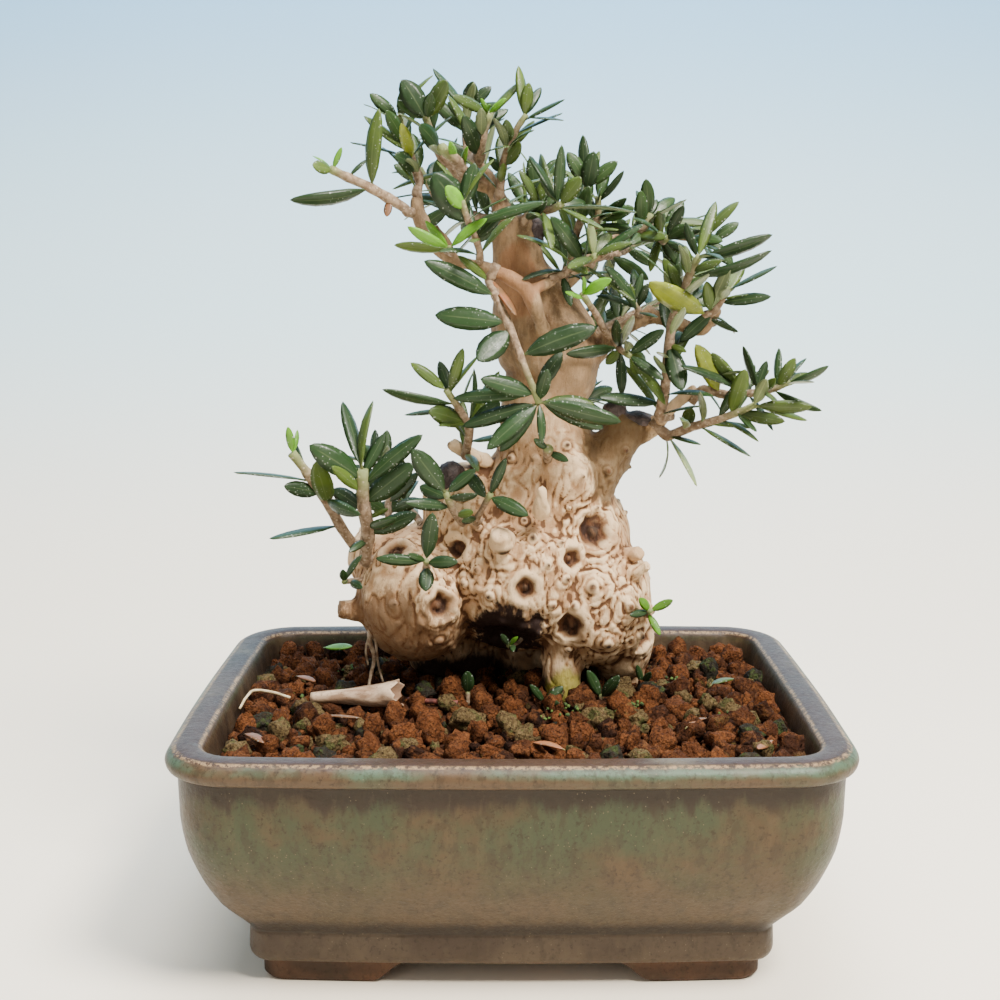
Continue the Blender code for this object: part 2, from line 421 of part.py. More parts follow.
def keep(piece, name, finish, smooth_angle=None):
    """Move a finished piece to the bonsai's own collection, under its own name."""
    bpy.data.collections["workbench"].objects.unlink(piece)
    bpy.data.collections["wild_olive_bonsai"].objects.link(piece)
    piece.name = name
    piece.data.name = name
    piece.data.materials.clear()
    piece.data.materials.append(finish)
    if smooth_angle is not None:
        piece.data.shade_smooth()
        piece.data.set_sharp_from_angle(angle=smooth_angle)
    return piece


def boolean(piece, others, operation, solver="EXACT"):
    """Join, or cut from the piece, every object of a list, which is then removed."""
    group = bpy.data.collections.new("operands")
    for other in others:
        group.objects.link(other)
    change = piece.modifiers.new(operation.lower(), "BOOLEAN")
    change.operation = operation
    change.operand_type = "COLLECTION"
    change.collection = group
    change.solver = solver
    settle(piece)
    for other in others:
        discard(other)
    bpy.data.collections.remove(group)
    return piece


def clean_faces(piece, least_edge):
    """Join the close corners and dissolve the flat splits that a union leaves."""
    shape = bmesh.new()
    shape.from_mesh(piece.data)
    bmesh.ops.remove_doubles(shape, verts=shape.verts, dist=least_edge * MM)
    bmesh.ops.dissolve_limit(shape, angle_limit=FLAT_ANGLE, verts=shape.verts, edges=shape.edges)
    bmesh.ops.triangulate(shape, faces=shape.faces)
    sound = all(edge.is_manifold for edge in shape.edges)
    if sound:
        shape.to_mesh(piece.data)
    shape.free()
    return sound


def surface_tree(mesh, grow=0.0):
    corners = [v.co + v.normal * grow for v in mesh.vertices]
    return BVHTree.FromPolygons(corners, [tuple(p.vertices) for p in mesh.polygons])


def loft(rings, closed_ends=True):
    """A skin over rings of points that all have the same number of points."""
    shape = bmesh.new()
    rows = [[shape.verts.new(point) for point in ring] for ring in rings]
    for lower, upper in zip(rows, rows[1:]):
        for i in range(len(lower)):
            j = (i + 1) % len(lower)
            shape.faces.new((lower[i], lower[j], upper[j], upper[i]))
    if closed_ends:
        shape.faces.new(rows[0])
        shape.faces.new(rows[-1])
    return shape


def oblong(inset, height):
    """The pot's outline, moved in by inset: a rectangle with bowed sides and round corners."""
    radius = max(CORNER_RADIUS - inset, LEAST_CORNER_RADIUS)
    half_width = RIM_WIDTH / 2 - SHORT_SIDE_BOW - inset
    half_depth = RIM_DEPTH / 2 - LONG_SIDE_BOW - inset
    sides = (
        (half_width, half_depth, SHORT_SIDE_BOW, SHORT_STEPS),
        (half_depth, half_width, LONG_SIDE_BOW, LONG_STEPS),
    )
    points = []
    for quarter in range(4):
        out, along, bow, steps = sides[quarter % 2]
        turn = Matrix.Rotation(quarter * math.pi / 2, 3, "Z")
        straight = along - radius
        for step in range(steps):
            share = 2 * step / steps - 1
            points.append(turn @ Vector((out + bow * (1 - share * share), share * straight, height)))
        for step in range(CORNER_STEPS):
            angle = math.pi / 2 * step / CORNER_STEPS
            corner = Vector((math.cos(angle), math.sin(angle), 0)) * radius
            points.append(turn @ (Vector((out - radius, straight, height)) + corner))
    return [point * MM for point in points]


def arch_cutter(name, half_width, half_length, turn):
    """A low arch with curved shoulders, which parts the foot ring into corner feet."""
    half = [(half_width, -1.0), (half_width, 0.0)]
    steps = 4
    for step in range(1, steps + 1):
        share = step / steps
        rise = (1 - math.cos(math.pi * share)) / 2
        half.append((half_width - ARCH_SHOULDER * share, ARCH_HEIGHT * rise))
    outline = half + [(-x, z) for x, z in reversed(half)]
    ends = [
        [turn @ millimetres(x, y, z) for x, z in outline]
        for y in (-half_length, half_length)
    ]
    return loose_object(name, mesh_from_bmesh(name, loft(ends)))


def make_pot(finish):
    rings = [oblong(inset, height) for inset, height in WALL_PROFILE]
    pot = loose_object("pot", mesh_from_bmesh("pot", loft(rings)))
    quarter_turn = Matrix.Rotation(math.pi / 2, 3, "Z")
    cutters = [
        arch_cutter("front_arch", ARCH_HALF_WIDTH, RIM_DEPTH, Matrix.Identity(3)),
        arch_cutter("side_arch", ARCH_HALF_DEPTH, RIM_WIDTH, quarter_turn),
    ]
    for x in (-DRAIN_X, DRAIN_X):
        shape = bmesh.new()
        bmesh.ops.create_cone(shape, cap_ends=True, segments=16, radius1=DRAIN_RADIUS * MM,
                              radius2=DRAIN_RADIUS * MM, depth=2 * FLOOR_TOP * MM,
                              matrix=Matrix.Translation(millimetres(x, 0, FLOOR_TOP)))
        cutters.append(loose_object("drain", mesh_from_bmesh("drain", shape)))
    boolean(pot, cutters, "DIFFERENCE")
    return keep(pot, "pot", finish, math.radians(40))


def box_object(name, middle, size):
    shape = bmesh.new()
    bmesh.ops.create_cube(shape, size=1.0)
    bmesh.ops.scale(shape, vec=Vector(size) * MM, verts=shape.verts)
    bmesh.ops.translate(shape, vec=Vector(middle) * MM, verts=shape.verts)
    return loose_object(name, mesh_from_bmesh(name, shape))


def make_screen(name, x, finish):
    """A square of plastic mesh that lies over a drainage hole: a grid of nine windows."""
    cells = 3
    shape = bmesh.new()
    bmesh.ops.create_grid(shape, x_segments=cells, y_segments=cells, size=SCREEN_SIZE / 2 * MM)
    windows = bmesh.ops.inset_individual(shape, faces=shape.faces, thickness=0.8 * MM)
    rims = set(windows["faces"])
    bmesh.ops.delete(shape, geom=[f for f in shape.faces if f not in rims], context="FACES")
    bmesh.ops.translate(shape, verts=shape.verts, vec=millimetres(x, 0, FLOOR_TOP + GAP))
    screen = loose_object(name, mesh_from_bmesh(name, shape))
    walls = screen.modifiers.new("thickness", "SOLIDIFY")
    walls.thickness = SCREEN_THICKNESS * MM
    walls.offset = 1.0 if screen.data.polygons[0].normal.z > 0 else -1.0
    settle(screen)
    return keep(screen, name, finish)


def ground(x, y):
    """Height of the soil between its grains."""
    near_trunk = math.hypot((x - TREE_AXIS[0]) / 40, (y - TREE_AXIS[1]) / 30)
    return SOIL_LEVEL + SOIL_MOUND * math.exp(-near_trunk * near_trunk)


def inside_oblong(x, y, inset):
    radius = max(CORNER_RADIUS - inset, LEAST_CORNER_RADIUS)
    dx = max(abs(x) - (RIM_WIDTH / 2 - SHORT_SIDE_BOW - inset - radius), 0)
    dy = max(abs(y) - (RIM_DEPTH / 2 - LONG_SIDE_BOW - inset - radius), 0)
    return math.hypot(dx, dy) < radius


def soil_top_points():
    """Grain tops on a loose honeycomb, with a low point in every hollow between three grains."""
    draw = random.Random(GRAIN_SEED)
    points = []
    row_step = GRAIN_SPACING * math.sqrt(3) / 2
    rows = int(RIM_DEPTH / row_step)
    columns = int(RIM_WIDTH / GRAIN_SPACING)
    for row in range(-rows, rows + 1):
        for column in range(-columns, columns + 1):
            x = (column + 0.5 * (row % 2)) * GRAIN_SPACING
            y = row * row_step
            third = row_step / 3
            places = (
                (x, y, GRAIN_HEIGHT, 0.45),
                (x, y + 2 * third, -GRAIN_HEIGHT, 0.2),
                (x + GRAIN_SPACING / 2, y + third, -GRAIN_HEIGHT, 0.2),
            )
            for px, py, rise, loose in places:
                px += draw.uniform(-loose, loose)
                py += draw.uniform(-loose, loose)
                height = ground(px, py) + rise * draw.uniform(0.5, 1.3)
                if inside_oblong(px, py, SOIL_EDGE_INSET + 1.0):
                    points.append(Vector((px, py, height)))
    return points


def make_soil_block():
    """The soil as one solid: the pot's inner form, under a top of grains."""
    lower = [(25.2, FLOOR_TOP + GAP), (21.4, 12.1), (16.8, 16.8), (12.0, 25.8), (9.3, 34.2)]
    rings = [oblong(inset, height) for inset, height in lower]
    edge = oblong(SOIL_EDGE_INSET, SOIL_LEVEL)
    shape = loft(rings + [edge], closed_ends=False)
    shape.verts.ensure_lookup_table()
    rim = shape.verts[-len(edge):]
    shape.faces.new(shape.verts[:len(edge)])
    points = soil_top_points()
    flat = [Vector((p.x, p.y)) / MM for p in edge] + [Vector((p.x, p.y)) for p in points]
    border = [(i, (i + 1) % len(edge)) for i in range(len(edge))]
    _, _, triangles, sources, _, _ = geometry.delaunay_2d_cdt(flat, border, [], 1, 1e-4)
    corners = list(rim) + [shape.verts.new(p * MM) for p in points]
    for triangle in triangles:
        shape.faces.new([corners[sources[i][0]] for i in triangle])
    return loose_object("soil", mesh_from_bmesh("soil", shape))


def lump(middle, half_sizes, subdivisions=3):
    shape = bmesh.new()
    bmesh.ops.create_icosphere(shape, subdivisions=subdivisions, radius=1.0)
    bmesh.ops.scale(shape, vec=Vector(half_sizes) * MM, verts=shape.verts)
    bmesh.ops.translate(shape, vec=Vector(middle) * MM, verts=shape.verts)
    return loose_object("lump", mesh_from_bmesh("lump", shape))


def tube(name, points, roundness):
    """A tube through points that each carry a radius: a curve with a bevel, made a mesh."""
    curve = bpy.data.curves.new(name, "CURVE")
    curve.dimensions = "3D"
    curve.bevel_depth = MM
    curve.bevel_resolution = roundness
    curve.use_fill_caps = True
    line = curve.splines.new("POLY")
    line.points.add(len(points) - 1)
    for spot, (x, y, z, radius) in zip(line.points, points):
        spot.co = (x * MM, y * MM, z * MM, 1.0)
        spot.radius = radius
    guide = loose_object(name, curve)
    mesh = evaluated_mesh(guide)
    discard(guide)
    bpy.data.curves.remove(curve)
    shape = bmesh.new()
    shape.from_mesh(mesh)
    bmesh.ops.remove_doubles(shape, verts=shape.verts, dist=1e-6)
    return loose_object(name, mesh_from_bmesh(name, shape))


def between(a, b, c, d, share):
    """Smooth curve between b and c, with a and d as the points before and after."""
    return 0.5 * (2 * b + (c - a) * share + (2 * a - 5 * b + 4 * c - d) * share ** 2
                  + (3 * b - a - 3 * c + d) * share ** 3)


def smooth_route(route, steps):
    """The route's points and smooth points between them; a point may carry a radius too."""
    spots = [Vector(point) for point in route]
    padded = [2 * spots[0] - spots[1]] + spots + [2 * spots[-1] - spots[-2]]
    line = []
    for i in range(len(spots) - 1):
        for step in range(steps):
            line.append(between(*padded[i:i + 4], step / steps))
    line.append(spots[-1])
    return line


def merge(pieces):
    """One object of several overlapping ones, for the voxel remesh to unite."""
    shape = bmesh.new()
    for piece in pieces:
        shape.from_mesh(piece.data)
        discard(piece)
    mesh = bpy.data.meshes.new("merged")
    shape.to_mesh(mesh)
    shape.free()
    return loose_object("merged", mesh)


def voxel_remesh(piece, size):
    remesh = piece.modifiers.new("one_skin", "REMESH")
    remesh.mode = "VOXEL"
    remesh.voxel_size = size * MM
    return settle(piece)


def knot_relief(offset, knot):
    """How far the bark stands out at a distance from a knot's middle."""
    share = offset / knot.radius
    if knot.dip == 0:
        return knot.height * math.exp(-1.2 * share * share)
    rim = knot.height * math.exp(-((share - 1) / 0.45) ** 2)
    return rim - knot.dip * math.exp(-(share / 0.6) ** 2)


def place_knots(mesh):
    """The seen knots, each where its line of sight meets the bark, and others all round."""
    draw = random.Random(KNOT_SEED)
    bark = surface_tree(mesh)
    spots = []
    for knot in KNOTS:
        hit = bark.ray_cast(millimetres(knot.x, -60, knot.z), Vector((0, 1, 0)))[0]
        if hit:
            spots.append((hit, knot))
    places = [v.co for v in mesh.vertices if 49 * MM < v.co.z < 100 * MM]
    while len(spots) < len(KNOTS) + EXTRA_KNOTS:
        place = draw.choice(places)
        if min((place - spot).length for spot, _ in spots) > KNOT_SPACING * MM:
            spots.append((place.copy(), Knot(0, 0, draw.uniform(1.6, 2.8), draw.uniform(0.5, 1.2), 0)))
    return spots


def make_trunk():
    """The trunk: united masses, given knots and rough bark, with the thin limbs joined on."""
    masses = [lump(*size) for size in TRUNK_LUMPS]
    masses += [tube("stem", smooth_route(stem, 3), 3) for stem in TRUNK_STEMS]
    trunk = voxel_remesh(merge(masses), TRUNK_VOXEL)
    boolean(trunk, [lump(*ROOT_HOLLOW)], "DIFFERENCE")
    voxel_remesh(trunk, TRUNK_VOXEL)
    soften = trunk.modifiers.new("soften", "SMOOTH")
    soften.factor = 0.5
    soften.iterations = 5
    settle(trunk)
    knots = place_knots(trunk.data)
    moves = []
    for vertex in trunk.data.vertices:
        rise = sum(knot_relief((vertex.co - spot).length / MM, knot) for spot, knot in knots
                   if (vertex.co - spot).length < 3 * knot.radius * MM)
        above_soil = min(max((vertex.co.z / MM - 46) / 4, 0), 1)
        bark = noise.noise(vertex.co / MM * BARK_SCALE) * BARK_ROUGHNESS
        moves.append(vertex.normal * (rise * above_soil + bark * above_soil) * MM)
    for vertex, move in zip(trunk.data.vertices, moves):
        vertex.co += move
    thin = trunk.modifiers.new("fewer_faces", "DECIMATE")
    thin.ratio = TRUNK_FACES / (2 * len(trunk.data.polygons))
    settle(trunk)
    limbs = [tube("limb", smooth_route(limb, 1 if len(limb) > 3 else 2), 1) for limb in LIMBS]
    return boolean(trunk, limbs, "UNION", "MANIFOLD")


def grown_copy(piece, grow):
    """A copy with its skin moved out, to cut room for the piece in its neighbours."""
    mesh = piece.data.copy()
    shifted = [v.co + v.normal * grow * MM for v in mesh.vertices]
    for vertex, place in zip(mesh.vertices, shifted):
        vertex.co = place
    return loose_object("room", mesh)


def blade_points(root, tip, face, width, arch):
    """A leaf's root point, then its rings towards the tip: two edges and the keel beneath.

    face is the way the leaf's upper side looks, and arch how far its middle rises.
    """
    line = tip - root
    length = line.length
    ahead = line / length
    up = (face - ahead * face.dot(ahead)).normalized()
    side = ahead.cross(up)
    rings = [root - ahead * ROOT_DEPTH / 2]
    for share, breadth in BLADE_RINGS:
        half = breadth * width / 2
        middle = root + line * share + up * (4 * arch * length * share * (1 - share))
        rings.append((middle + side * half, middle - side * half, middle - up * BLADE_THICKNESS))
    return rings


def blade_mesh(points, tip):
    """A thin keeled leaf: three corners a ring, drawn to a point at the root and at the tip."""
    shape = bmesh.new()
    start = shape.verts.new(points[0] * MM)
    rows = [[shape.verts.new(corner * MM) for corner in ring] for ring in points[1:]]
    point = shape.verts.new(tip * MM)
    for i in range(3):
        shape.faces.new((rows[0][i], rows[0][(i + 1) % 3], start))
        shape.faces.new((rows[-1][i], rows[-1][(i + 1) % 3], point))
    for near, far in zip(rows, rows[1:]):
        for i in range(3):
            j = (i + 1) % 3
            shape.faces.new((near[i], near[j], far[j]))
            shape.faces.new((near[i], far[j], far[i]))
    return mesh_from_bmesh("blade", shape)


def leaf_face(root, tip, seen_width, width, hand):
    """The way a leaf's upper side looks, so that from the front it shows the seen width."""
    ahead = (tip - root).normalized()
    to_viewer = Vector((0, -1, 0.35))
    level = (to_viewer - ahead * to_viewer.dot(ahead)).normalized()
    roll = math.acos(min(seen_width / width, 1.0))
    return Matrix.Rotation(roll * hand, 3, ahead) @ level


def leaf_tries(root, tip, seen_width, arch, hand):
    """The leaf as wanted, and then turned a little nearer, further or shorter, to find room."""
    reach = tip - root
    width = max(seen_width, LEAST_BLADE_SLENDERNESS * reach.length)
    for attempt in range(LEAF_TRIES):
        step = (attempt + 1) // 2 * (1 if attempt % 2 else -1)
        shorter = 1.0 - 0.02 * attempt
        new_tip = root + (reach + Vector((0, 0.14 * step * reach.length, 0))).normalized() * (
            reach.length * shorter)
        face = leaf_face(root, new_tip, seen_width, width, hand)
        yield new_tip, blade_points(root, new_tip, face, width, arch)


def along_route(line, share):
    """The place and direction at a share of the way along a line of points."""
    spans = [(b - a).length for a, b in zip(line, line[1:])]
    goal = min(share * sum(spans), sum(spans) - ROOT_DEPTH)
    for a, b, span in zip(line, line[1:], spans):
        if goal <= span:
            return a + (b - a) * (goal / span), (b - a).normalized()
        goal -= span
    return line[-1], (line[-1] - line[-2]).normalized()


def rule_leaves(shoot, line, draw):
    """Opposite pairs along the shoot, each pair a quarter turn from the last, smaller at the tip."""
    count, length, width = shoot.pairs
    roll = draw.uniform(0, math.pi)
    for pair in range(count):
        share = 1.0 if count == 1 else 0.35 + 0.65 * pair / (count - 1)
        place, ahead = along_route(line, share)
        across = ahead.orthogonal().normalized()
        size = length * draw.uniform(0.85, 1.12) * (0.78 if pair == count - 1 else 1.0)
        opening = math.radians(62 - 26 * pair / max(count - 1, 1) + draw.uniform(-7, 7))
        for half_turn in (0, math.pi):
            turn = Matrix.Rotation(roll + half_turn + draw.uniform(-0.25, 0.25), 3, ahead)
            way = ahead * math.cos(opening) + (turn @ across) * math.sin(opening)
            yield place, place + way * size, width
        roll += math.pi / 2


def rooted_route(shoot, bark):
    """The shoot's route, rising square out of the bark from just inside it."""
    route = [Vector(point) for point in shoot.route]
    if shoot.name in SOIL_SHOOTS:
        return route
    onward = route[1] - route[0]
    probe = route[0] + onward.normalized() * min(PROBE_REACH, onward.length)
    spot, outward, _, _ = bark.find_nearest(probe * MM)
    start = spot / MM
    return [start - outward * STEM_SINK, start + outward * STEM_RISE] + route[1:]


class Crown:
    """What already stands in the tree, so that each new leaf can be tried for room."""

    def __init__(self, fixed):
        self.fixed = fixed
        self.stems = {}
        self.blades = []

    def trees(self, rings, tip):
        """Search trees of the whole leaf and of its outer part, both a little grown."""
        spare = SPARE_AROUND_LEAF * MM
        inner = sum(rings[1], Vector()) / len(rings[1])
        whole = surface_tree(blade_mesh(rings, tip), spare)
        outer = surface_tree(blade_mesh([inner] + rings[2:], tip), spare)
        return whole, outer

    def free(self, owner, rings, tip):
        """True where the leaf meets nothing but its own stem and its neighbours' roots."""
        whole, outer = self.trees(rings, tip)
        others = self.fixed + [tree for name, tree in self.stems.items() if name != owner]
        if any(whole.overlap(tree) for tree in others):
            return False
        for name, other_whole, other_outer in self.blades:
            if outer.overlap(other_outer) if name == owner else whole.overlap(other_whole):
                return False
        return True

    def add_blade(self, owner, rings, tip):
        self.blades.append((owner, *self.trees(rings, tip)))


def keep_largest_body(piece):
    """Drop every body of a mesh but the one with most faces."""
    shape = bmesh.new()
    shape.from_mesh(piece.data)
    waiting = set(shape.faces)
    bodies = []
    while waiting:
        front = [waiting.pop()]
        body = list(front)
        while front:
            for edge in front.pop().edges:
                found = waiting.intersection(edge.link_faces)
                waiting -= found
                front += found
                body += found
        bodies.append(body)
    bodies.sort(key=len)
    for body in bodies[:-1]:
        bmesh.ops.delete(shape, geom=body, context="FACES")
    shape.to_mesh(piece.data)
    shape.free()


def make_stems(trunk, bark, crown):
    """Every shoot's bare stem, cut to stand on the bark with the usual gap, or in the soil."""
    stems = {}
    for shoot in SHOOTS:
        line = smooth_route(rooted_route(shoot, bark), 1 if len(shoot.route) > 2 else 2)
        last = len(line) - 1
        points = []
        for i, spot in enumerate(line):
            radius = shoot.base_radius + (shoot.tip_radius - shoot.base_radius) * i / last
            points.append((*spot, radius))
        stem = tube(shoot.name, points, 0)
        if shoot.name not in SOIL_SHOOTS:
            boolean(stem, [grown_copy(trunk, GAP)], "DIFFERENCE", "MANIFOLD")
            keep_largest_body(stem)
        stems[shoot.name] = (stem, line)
        crown.stems[shoot.name] = surface_tree(stem.data)
    return stems


def make_leaves(shoot, line, crown, draw):
    """The shoot's leaves that find room, as blades with their roots sunk in the stem."""
    wanted = []
    for share, x, y, z, seen_width, _ in shoot.leaves:
        wanted.append((along_route(line, share)[0], Vector((x, y, z)), seen_width))
    if shoot.pairs:
        wanted += list(rule_leaves(shoot, line, draw))
    blades = []
    for root, tip, seen_width in wanted:
        arch = draw.choice((0.03, 0.06, 0.1))
        hand = draw.choice((-1, 1))
        for new_tip, rings in leaf_tries(root, tip, seen_width, arch, hand):
            if crown.free(shoot.name, rings, new_tip):
                crown.add_blade(shoot.name, rings, new_tip)
                blades.append(loose_object("blade", blade_mesh(rings, new_tip)))
                break
    return blades, len(wanted)


def make_shoots(trunk, fixed, finish):
    draw = random.Random(LEAF_SEED)
    bark = surface_tree(trunk.data)
    crown = Crown(fixed + [bark])
    stems = make_stems(trunk, bark, crown)
    placed = 0
    hoped = 0
    for shoot in SHOOTS:
        stem, line = stems[shoot.name]
        blades, count = make_leaves(shoot, line, crown, draw)
        placed += len(blades)
        hoped += count
        boolean(stem, blades, "UNION", "MANIFOLD")
        if not any(clean_faces(stem, least_edge) for least_edge in LEAST_EDGES):
            print("left as it was:", shoot.name)
        keep_largest_body(stem)
        keep(stem, "shoot_" + shoot.name, finish)
    print("leaves placed", placed, "of", hoped)


def make_seal(name, lumps, trunk, finish):
    """A dab of wound paste: lumps on the bark, less the trunk and its gap."""
    bark = surface_tree(trunk.data)
    shapes = [lump(bark.find_nearest(millimetres(*middle))[0] / MM, half_sizes, 2)
              for middle, half_sizes in lumps]
    seal = shapes[0]
    if shapes[1:]:
        boolean(seal, shapes[1:], "UNION")
    boolean(seal, [grown_copy(trunk, GAP)], "DIFFERENCE", "MANIFOLD")
    keep_largest_body(seal)
    return keep(seal, name, finish)


def make_bark_curl(finish):
    """A scrap of bark, rolled to an open horn, lying on the soil."""
    arc_steps = 7
    line = smooth_route(BARK_CURL, 2)
    shape = bmesh.new()
    rows = []
    for i, spot in enumerate(line):
        ahead = (line[min(i + 1, len(line) - 1)] - line[max(i - 1, 0)]).to_3d().normalized()
        across = ahead.cross(Vector((0, 0, 1))).normalized()
        rise = across.cross(ahead)
        row = []
        for step in range(arc_steps):
            angle = math.radians(-70 + 250 * step / (arc_steps - 1))
            reach = spot.w * (1 + 0.12 * step / arc_steps)
            offset = (across * math.cos(angle) - rise * math.sin(angle) * 0.8) * reach
            row.append(shape.verts.new((spot.to_3d() + offset) * MM))
        rows.append(row)
    for near, far in zip(rows, rows[1:]):
        for i in range(arc_steps - 1):
            shape.faces.new((near[i], near[i + 1], far[i + 1], far[i]))
    curl = loose_object("bark_curl", mesh_from_bmesh("bark_curl", shape))
    walls = curl.modifiers.new("thickness", "SOLIDIFY")
    walls.thickness = BARK_THICKNESS * MM
    walls.offset = 0.0
    settle(curl)
    return keep(curl, "bark_curl", finish)


def rest_on(piece, below):
    """Let a piece down from above until it is about to touch the surface, and keep the gap."""
    step = Matrix.Translation((0, 0, -GAP / 3 * MM))
    piece.data.transform(Matrix.Translation((0, 0, REST_START * MM)))
    while not surface_tree(piece.data).overlap(below):
        piece.data.transform(step)
    piece.data.transform(Matrix.Translation((0, 0, GAP * MM)))


def main():
    clear_scene()
    collection("wild_olive_bonsai")
    workbench = collection("workbench")
    glaze = material("glaze", (0.16, 0.15, 0.10), 0.35)
    earth = material("earth", (0.22, 0.09, 0.05), 0.95)
    bark = material("bark", (0.55, 0.42, 0.29), 0.8)
    leaf = material("leaf", (0.04, 0.10, 0.04), 0.45)
    paste = material("paste", (0.07, 0.06, 0.07), 0.7)
    netting = material("netting", (0.03, 0.03, 0.03), 0.5)
    dead_bark = material("dead_bark", (0.50, 0.38, 0.28), 0.9)

    pot = make_pot(glaze)
    trunk = make_trunk()
    soil = make_soil_block()
    keep(trunk, "trunk", bark, math.radians(60))
    rooms = [grown_copy(trunk, GAP + 0.1)]
    for shoot in SHOOTS:
        if shoot.name in SOIL_SHOOTS:
            (x, y, z), top = shoot.route[0], POT_HEIGHT
            radius = shoot.base_radius + HOLE_CLEARANCE
            rooms.append(tube("hole", ((x, y, z - GAP, radius), (x, y, top, radius)), 2))
    for x in (-DRAIN_X, DRAIN_X):
        middle = (x, 0, FLOOR_TOP + GAP)
        rooms.append(box_object("pocket", middle, (SCREEN_SIZE + 1, SCREEN_SIZE + 1, 3.0)))
    boolean(soil, rooms, "DIFFERENCE", "MANIFOLD")
    keep(soil, "soil", earth)
    make_screen("drain_screen_left", -DRAIN_X, netting)
    make_screen("drain_screen_right", DRAIN_X, netting)

    seals = [make_seal(name, lumps, trunk, paste) for name, lumps in SEALS.items()]
    curl = make_bark_curl(dead_bark)
    stem = keep(tube("dry_stem", DRY_STEM, 1), "dry_stem", dead_bark)
    soil_top = surface_tree(soil.data)
    for scrap in (curl, stem):
        rest_on(scrap, soil_top)
    fixed = [surface_tree(piece.data) for piece in (pot, soil, curl, stem, *seals)]
    make_shoots(trunk, fixed, leaf)
    bpy.data.collections.remove(workbench)


main()
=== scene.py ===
# %% [markdown]
# # A small wild olive bonsai in its glazed pot
#
# The real object is about 13 cm wide and 17 cm high: an old olive trunk full of knots, some
# fifty leafy shoots, grains of baked clay for soil, and a rounded oblong pot with a runny
# green glaze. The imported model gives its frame: every solid at its real size and place. Here
# each solid is replaced by a finer piece that keeps its form, and then gets its finish.
# Lengths in the tables are millimetres, and the meshes are metres.

# %% The frame
import json
import math
import random
from collections import namedtuple

import bmesh
import bpy
import numpy
from mathutils import Matrix, Vector, kdtree, noise
from mathutils.bvhtree import BVHTree

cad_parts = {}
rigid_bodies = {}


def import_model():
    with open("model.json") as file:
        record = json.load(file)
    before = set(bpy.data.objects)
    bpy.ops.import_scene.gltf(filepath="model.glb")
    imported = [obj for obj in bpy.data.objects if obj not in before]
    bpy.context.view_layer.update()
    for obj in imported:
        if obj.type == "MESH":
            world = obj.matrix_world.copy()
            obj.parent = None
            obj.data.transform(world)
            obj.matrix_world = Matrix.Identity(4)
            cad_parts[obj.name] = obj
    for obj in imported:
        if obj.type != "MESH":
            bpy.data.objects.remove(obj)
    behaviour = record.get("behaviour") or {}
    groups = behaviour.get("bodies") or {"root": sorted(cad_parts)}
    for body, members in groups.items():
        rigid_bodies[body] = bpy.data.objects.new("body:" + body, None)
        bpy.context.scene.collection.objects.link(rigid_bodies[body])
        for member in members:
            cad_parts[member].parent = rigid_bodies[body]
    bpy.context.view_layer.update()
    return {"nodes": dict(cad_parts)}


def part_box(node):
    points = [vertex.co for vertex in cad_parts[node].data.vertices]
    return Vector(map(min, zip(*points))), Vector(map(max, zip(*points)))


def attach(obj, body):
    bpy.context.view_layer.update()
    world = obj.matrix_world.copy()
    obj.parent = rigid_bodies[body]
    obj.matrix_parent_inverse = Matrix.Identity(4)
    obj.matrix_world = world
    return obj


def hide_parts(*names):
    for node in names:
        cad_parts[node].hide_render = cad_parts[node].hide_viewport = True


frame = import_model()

MM = 0.001

# %% [markdown]
# ## Camera
#
# The photograph looks down on the tree by ten degrees from about 29 cm. Where the rim's near
# and far edges stand in the picture fixes both the tilt and the distance, so the camera is set
# from those and not by eye.

# %% Camera
camera_data = bpy.data.cameras.new("camera")
camera_data.sensor_width = 36.0
camera_data.lens = 50.65
camera_data.clip_start = 0.01
camera = bpy.data.objects.new("camera", camera_data)
bpy.context.scene.collection.objects.link(camera)
camera.location = (-0.0022, -0.2852, 0.1392)
camera.rotation_euler = (math.radians(80), 0, 0)
bpy.context.scene.camera = camera
print("camera", tuple(camera.location))

# %% [markdown]
# ## Plain meshes
#
# Every piece ends as a plain mesh whose object sits at the origin. These helpers turn a
# working mesh or a list of points into one, with its faces outward.

# %% Mesh helpers
def finished(name, shape, finishes, smooth=True):
    """A new object of a bmesh, with its normals outward and its materials in slots."""
    bmesh.ops.recalc_face_normals(shape, faces=shape.faces)
    mesh = bpy.data.meshes.new(name)
    shape.to_mesh(mesh)
    shape.free()
    for finish in finishes:
        mesh.materials.append(finish)
    if smooth:
        mesh.shade_smooth()
    piece = bpy.data.objects.new(name, mesh)
    bpy.context.scene.collection.objects.link(piece)
    return piece


def settle(piece):
    """Apply the piece's modifiers, the node trees too."""
    graph = bpy.context.evaluated_depsgraph_get()
    graph.update()
    mesh = bpy.data.meshes.new_from_object(piece.evaluated_get(graph), depsgraph=graph)
    piece.modifiers.clear()
    piece.data = mesh
    return piece


def run_tree(piece, tree, ids, **inputs):
    """Run a Geometry Nodes tree on a piece, with its inputs set by identifier, and apply it."""
    change = piece.modifiers.new(tree.name, "NODES")
    change.node_group = tree
    for name, value in inputs.items():
        change[ids[name]] = value
    return settle(piece)


def put_on(piece, finish):
    """Give a remeshed piece its one finish, and smooth shading."""
    piece.data.materials.clear()
    piece.data.materials.append(finish)
    piece.data.shade_smooth()


def discard(piece):
    bpy.data.objects.remove(piece, do_unlink=True)


def ride_along(piece):
    """The piece belongs to the still body."""
    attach(piece, "root")


def take_place(piece, slot, *nodes):
    """The piece rides along, and stands for its solids."""
    ride_along(piece)
    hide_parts(*nodes)
    print(piece.name, len(piece.data.polygons), "faces")


def spread(value, low, high):
    """0 at low, 1 at high, and straight between."""
    return min(max((value - low) / (high - low), 0.0), 1.0)


